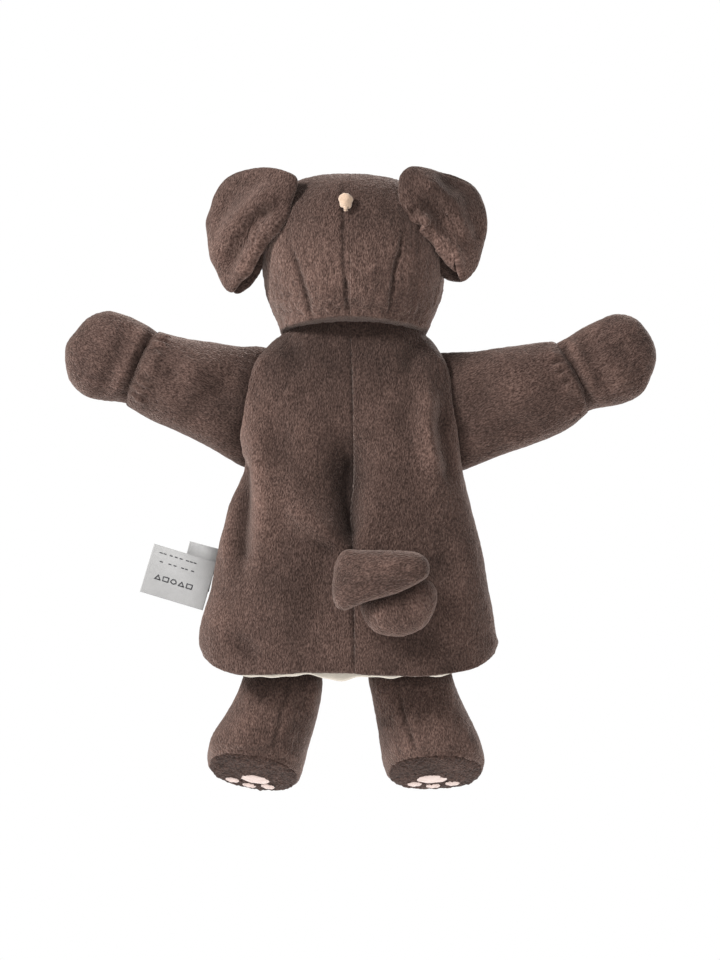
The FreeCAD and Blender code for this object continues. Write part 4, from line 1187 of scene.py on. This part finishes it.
def make_labels():
    width, length = 25.0, 21.5
    corner = (59.8, 48.4)
    across, down = (1.0, 0.30), (0.30, -1.0)
    laid = label_grid(corner, across, down, width + 4.5, length + 1.0, 2.6, 60, 80, 1.0)
    grid = laid
    nap = np.stack([np.broadcast_to(np.linspace(0, width, 80), (60, 80)), 0 * grid[..., 1],
                    np.broadcast_to(np.linspace(0, length, 60)[:, None], (60, 80))], -1)
    if outward(grid, False)[..., 1].mean() < 0:
        grid, nap = grid[:, ::-1], nap[:, ::-1]
    obj = cloth("care_label_satin", grid, 0.3, False, SATIN, nap)
    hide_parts("care_label")
    second = label_grid((58.6, 54.4), (1.0, 0.26), (0.26, -1.0), 14.0, 20.0, 1.0, 40, 40, -1.6)
    if outward(second, False)[..., 1].mean() < 0:
        second = second[:, ::-1]
    back = cloth("side_label_satin", second, 0.3, False, SATIN)
    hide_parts("side_label")
    # plain marks printed on the care label: two dashed rows and a row of simple outlines
    strokes = []
    dashes = ((0.14, (0.30, 0.36, 0.42, 0.52, 0.60, 0.68, 0.78, 0.84)),
              (0.30, (0.30, 0.40, 0.46, 0.58, 0.66, 0.80)))
    for row, pattern in dashes:
        strokes += [[(u, row), (u + 0.035, row)] for u in pattern]
    for k in range(5):
        u0, v0, s = 0.30 + 0.125 * k, 0.62, 0.042
        if k % 3 == 0:
            shape = [(u0 - s, v0 - s), (u0 + s, v0 - s), (u0 + s, v0 + s), (u0 - s, v0 + s),
                     (u0 - s, v0 - s)]
        elif k % 3 == 1:
            shape = [(u0 - s, v0 + s), (u0, v0 - s), (u0 + s, v0 + s), (u0 - s, v0 + s)]
        else:
            shape = [(u0 + s * math.cos(a), v0 + s * math.sin(a)) for a in np.linspace(0, 2 * math.pi, 17)]
        strokes += [[shape[i], shape[i + 1]] for i in range(len(shape) - 1)]
    points, faces = [], []
    for (u1, v1), (u2, v2) in strokes:
        ends = []
        for u, v in ((u1, v1), (u2, v2)):
            i, j = min(int(round(u * 79)), 79), min(int(round(v * 59)), 59)
            base = laid[j, i].copy()
            base[0] += (u * 79 - i) / 79 * (laid[j, -1, 0] - laid[j, 0, 0])
            base[2] += (u * 79 - i) / 79 * (laid[j, -1, 2] - laid[j, 0, 2])
            ends.append(base)
        p, q = ends
        d = (q - p) / max(np.linalg.norm(q - p), 1e-9)
        side = np.cross(d, (0, 1, 0)) * 0.22
        f = len(points)
        for e, grow in ((p, -0.15), (q, 0.15)):
            for up in (-0.1, 0.14):
                for w in (-1, 1):
                    points.append(e + d * grow + side * w + np.array((0, up, 0)))
        faces += [(f, f + 1, f + 3, f + 2), (f + 4, f + 6, f + 7, f + 5), (f, f + 4, f + 5, f + 1),
                  (f + 2, f + 3, f + 7, f + 6), (f, f + 2, f + 6, f + 4), (f + 1, f + 5, f + 7, f + 3)]
    points = np.array(points)
    marks = make("care_marks", points, np.array(faces), (), points, np.ones(len(points)), PRINT)
    for piece in (obj, back, marks):
        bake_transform(piece)


# ---------------------------------------------------------------- stage

ROOM_LIGHT = 0.60      # how bright the room is that lights the puppet; the camera sees it as white
FLOOR_GLOW = 0.42      # light of its own that keeps the floor white


def make_stage():
    floor = bpy.data.meshes.new("floor")
    size, drop = 1.6, -0.36
    corners = [(-size, -size, drop), (size, -size, drop), (size, size, drop), (-size, size, drop)]
    floor.from_pydata(corners, [], [(0, 1, 2, 3)])
    obj = bpy.data.objects.new("floor", floor)
    bpy.context.scene.collection.objects.link(obj)
    m, nodes, links, bsdf = new_material("pale_floor")
    tex = nodes.new("ShaderNodeTexNoise")
    tex.inputs["Scale"].default_value = 6.0
    pale = ramp(nodes, links, tex.outputs["Fac"], [(0.3, (0.90, 0.90, 0.90)), (0.7, (0.93, 0.93, 0.93))])
    links.new(pale, bsdf.inputs["Base Color"])
    bsdf.inputs["Roughness"].default_value = 0.9
    bsdf.inputs["Emission Color"].default_value = (1, 1, 1, 1)
    bsdf.inputs["Emission Strength"].default_value = FLOOR_GLOW
    floor.materials.append(m)

    world = bpy.data.worlds.new("studio")
    bpy.context.scene.world = world
    world.use_nodes = True
    nodes, links = world.node_tree.nodes, world.node_tree.links
    nodes["Background"].inputs["Color"].default_value = (1, 1, 1, 1)
    # the backdrop is lit to plain white, while the room round the puppet is darker
    ray = nodes.new("ShaderNodeLightPath")
    level = nodes.new("ShaderNodeMapRange")
    level.inputs["To Min"].default_value = ROOM_LIGHT
    level.inputs["To Max"].default_value = 1.0
    links.new(ray.outputs["Is Camera Ray"], level.inputs["Value"])
    links.new(level.outputs["Result"], nodes["Background"].inputs["Strength"])
    bpy.context.scene.view_settings.view_transform = "Standard"

    aim = np.array((0.0, 0.0, 0.09))
    lights = (("key", (1.30, 0.85, 1.05), 0.45, 76.0), ("fill", (-1.2, 1.4, 0.3), 1.0, 8.0),
              ("front", (-0.9, -1.5, 0.8), 0.8, 46.0))
    for name, place, size, power in lights:
        light = bpy.data.lights.new(name, "AREA")
        light.shape = "DISK"
        light.size = size
        light.energy = power
        lamp = bpy.data.objects.new(name, light)
        bpy.context.scene.collection.objects.link(lamp)
        lamp.location = place
        lamp.rotation_mode = "QUATERNION"
        direction = aim - np.array(place)
        lamp.rotation_quaternion = Vector(direction).to_track_quat("-Z", "Y")

    camera = bpy.data.cameras.new("camera")
    view_height = 0.432      # how much of the object's plane the picture covers, top to bottom
    distance = 2.0
    camera.sensor_width = 36.0
    camera.lens = camera.sensor_width * distance / view_height
    eye = bpy.data.objects.new("camera", camera)
    bpy.context.scene.collection.objects.link(eye)
    eye.location = (-0.0045, distance, 0.0855)
    eye.rotation_euler = (math.radians(90), 0, math.radians(180))
    bpy.context.scene.camera = eye


make_body()
make_head()
make_knot()
make_face()
make_ears()
make_arms()
make_legs()
make_tail()
make_labels()
make_stage()
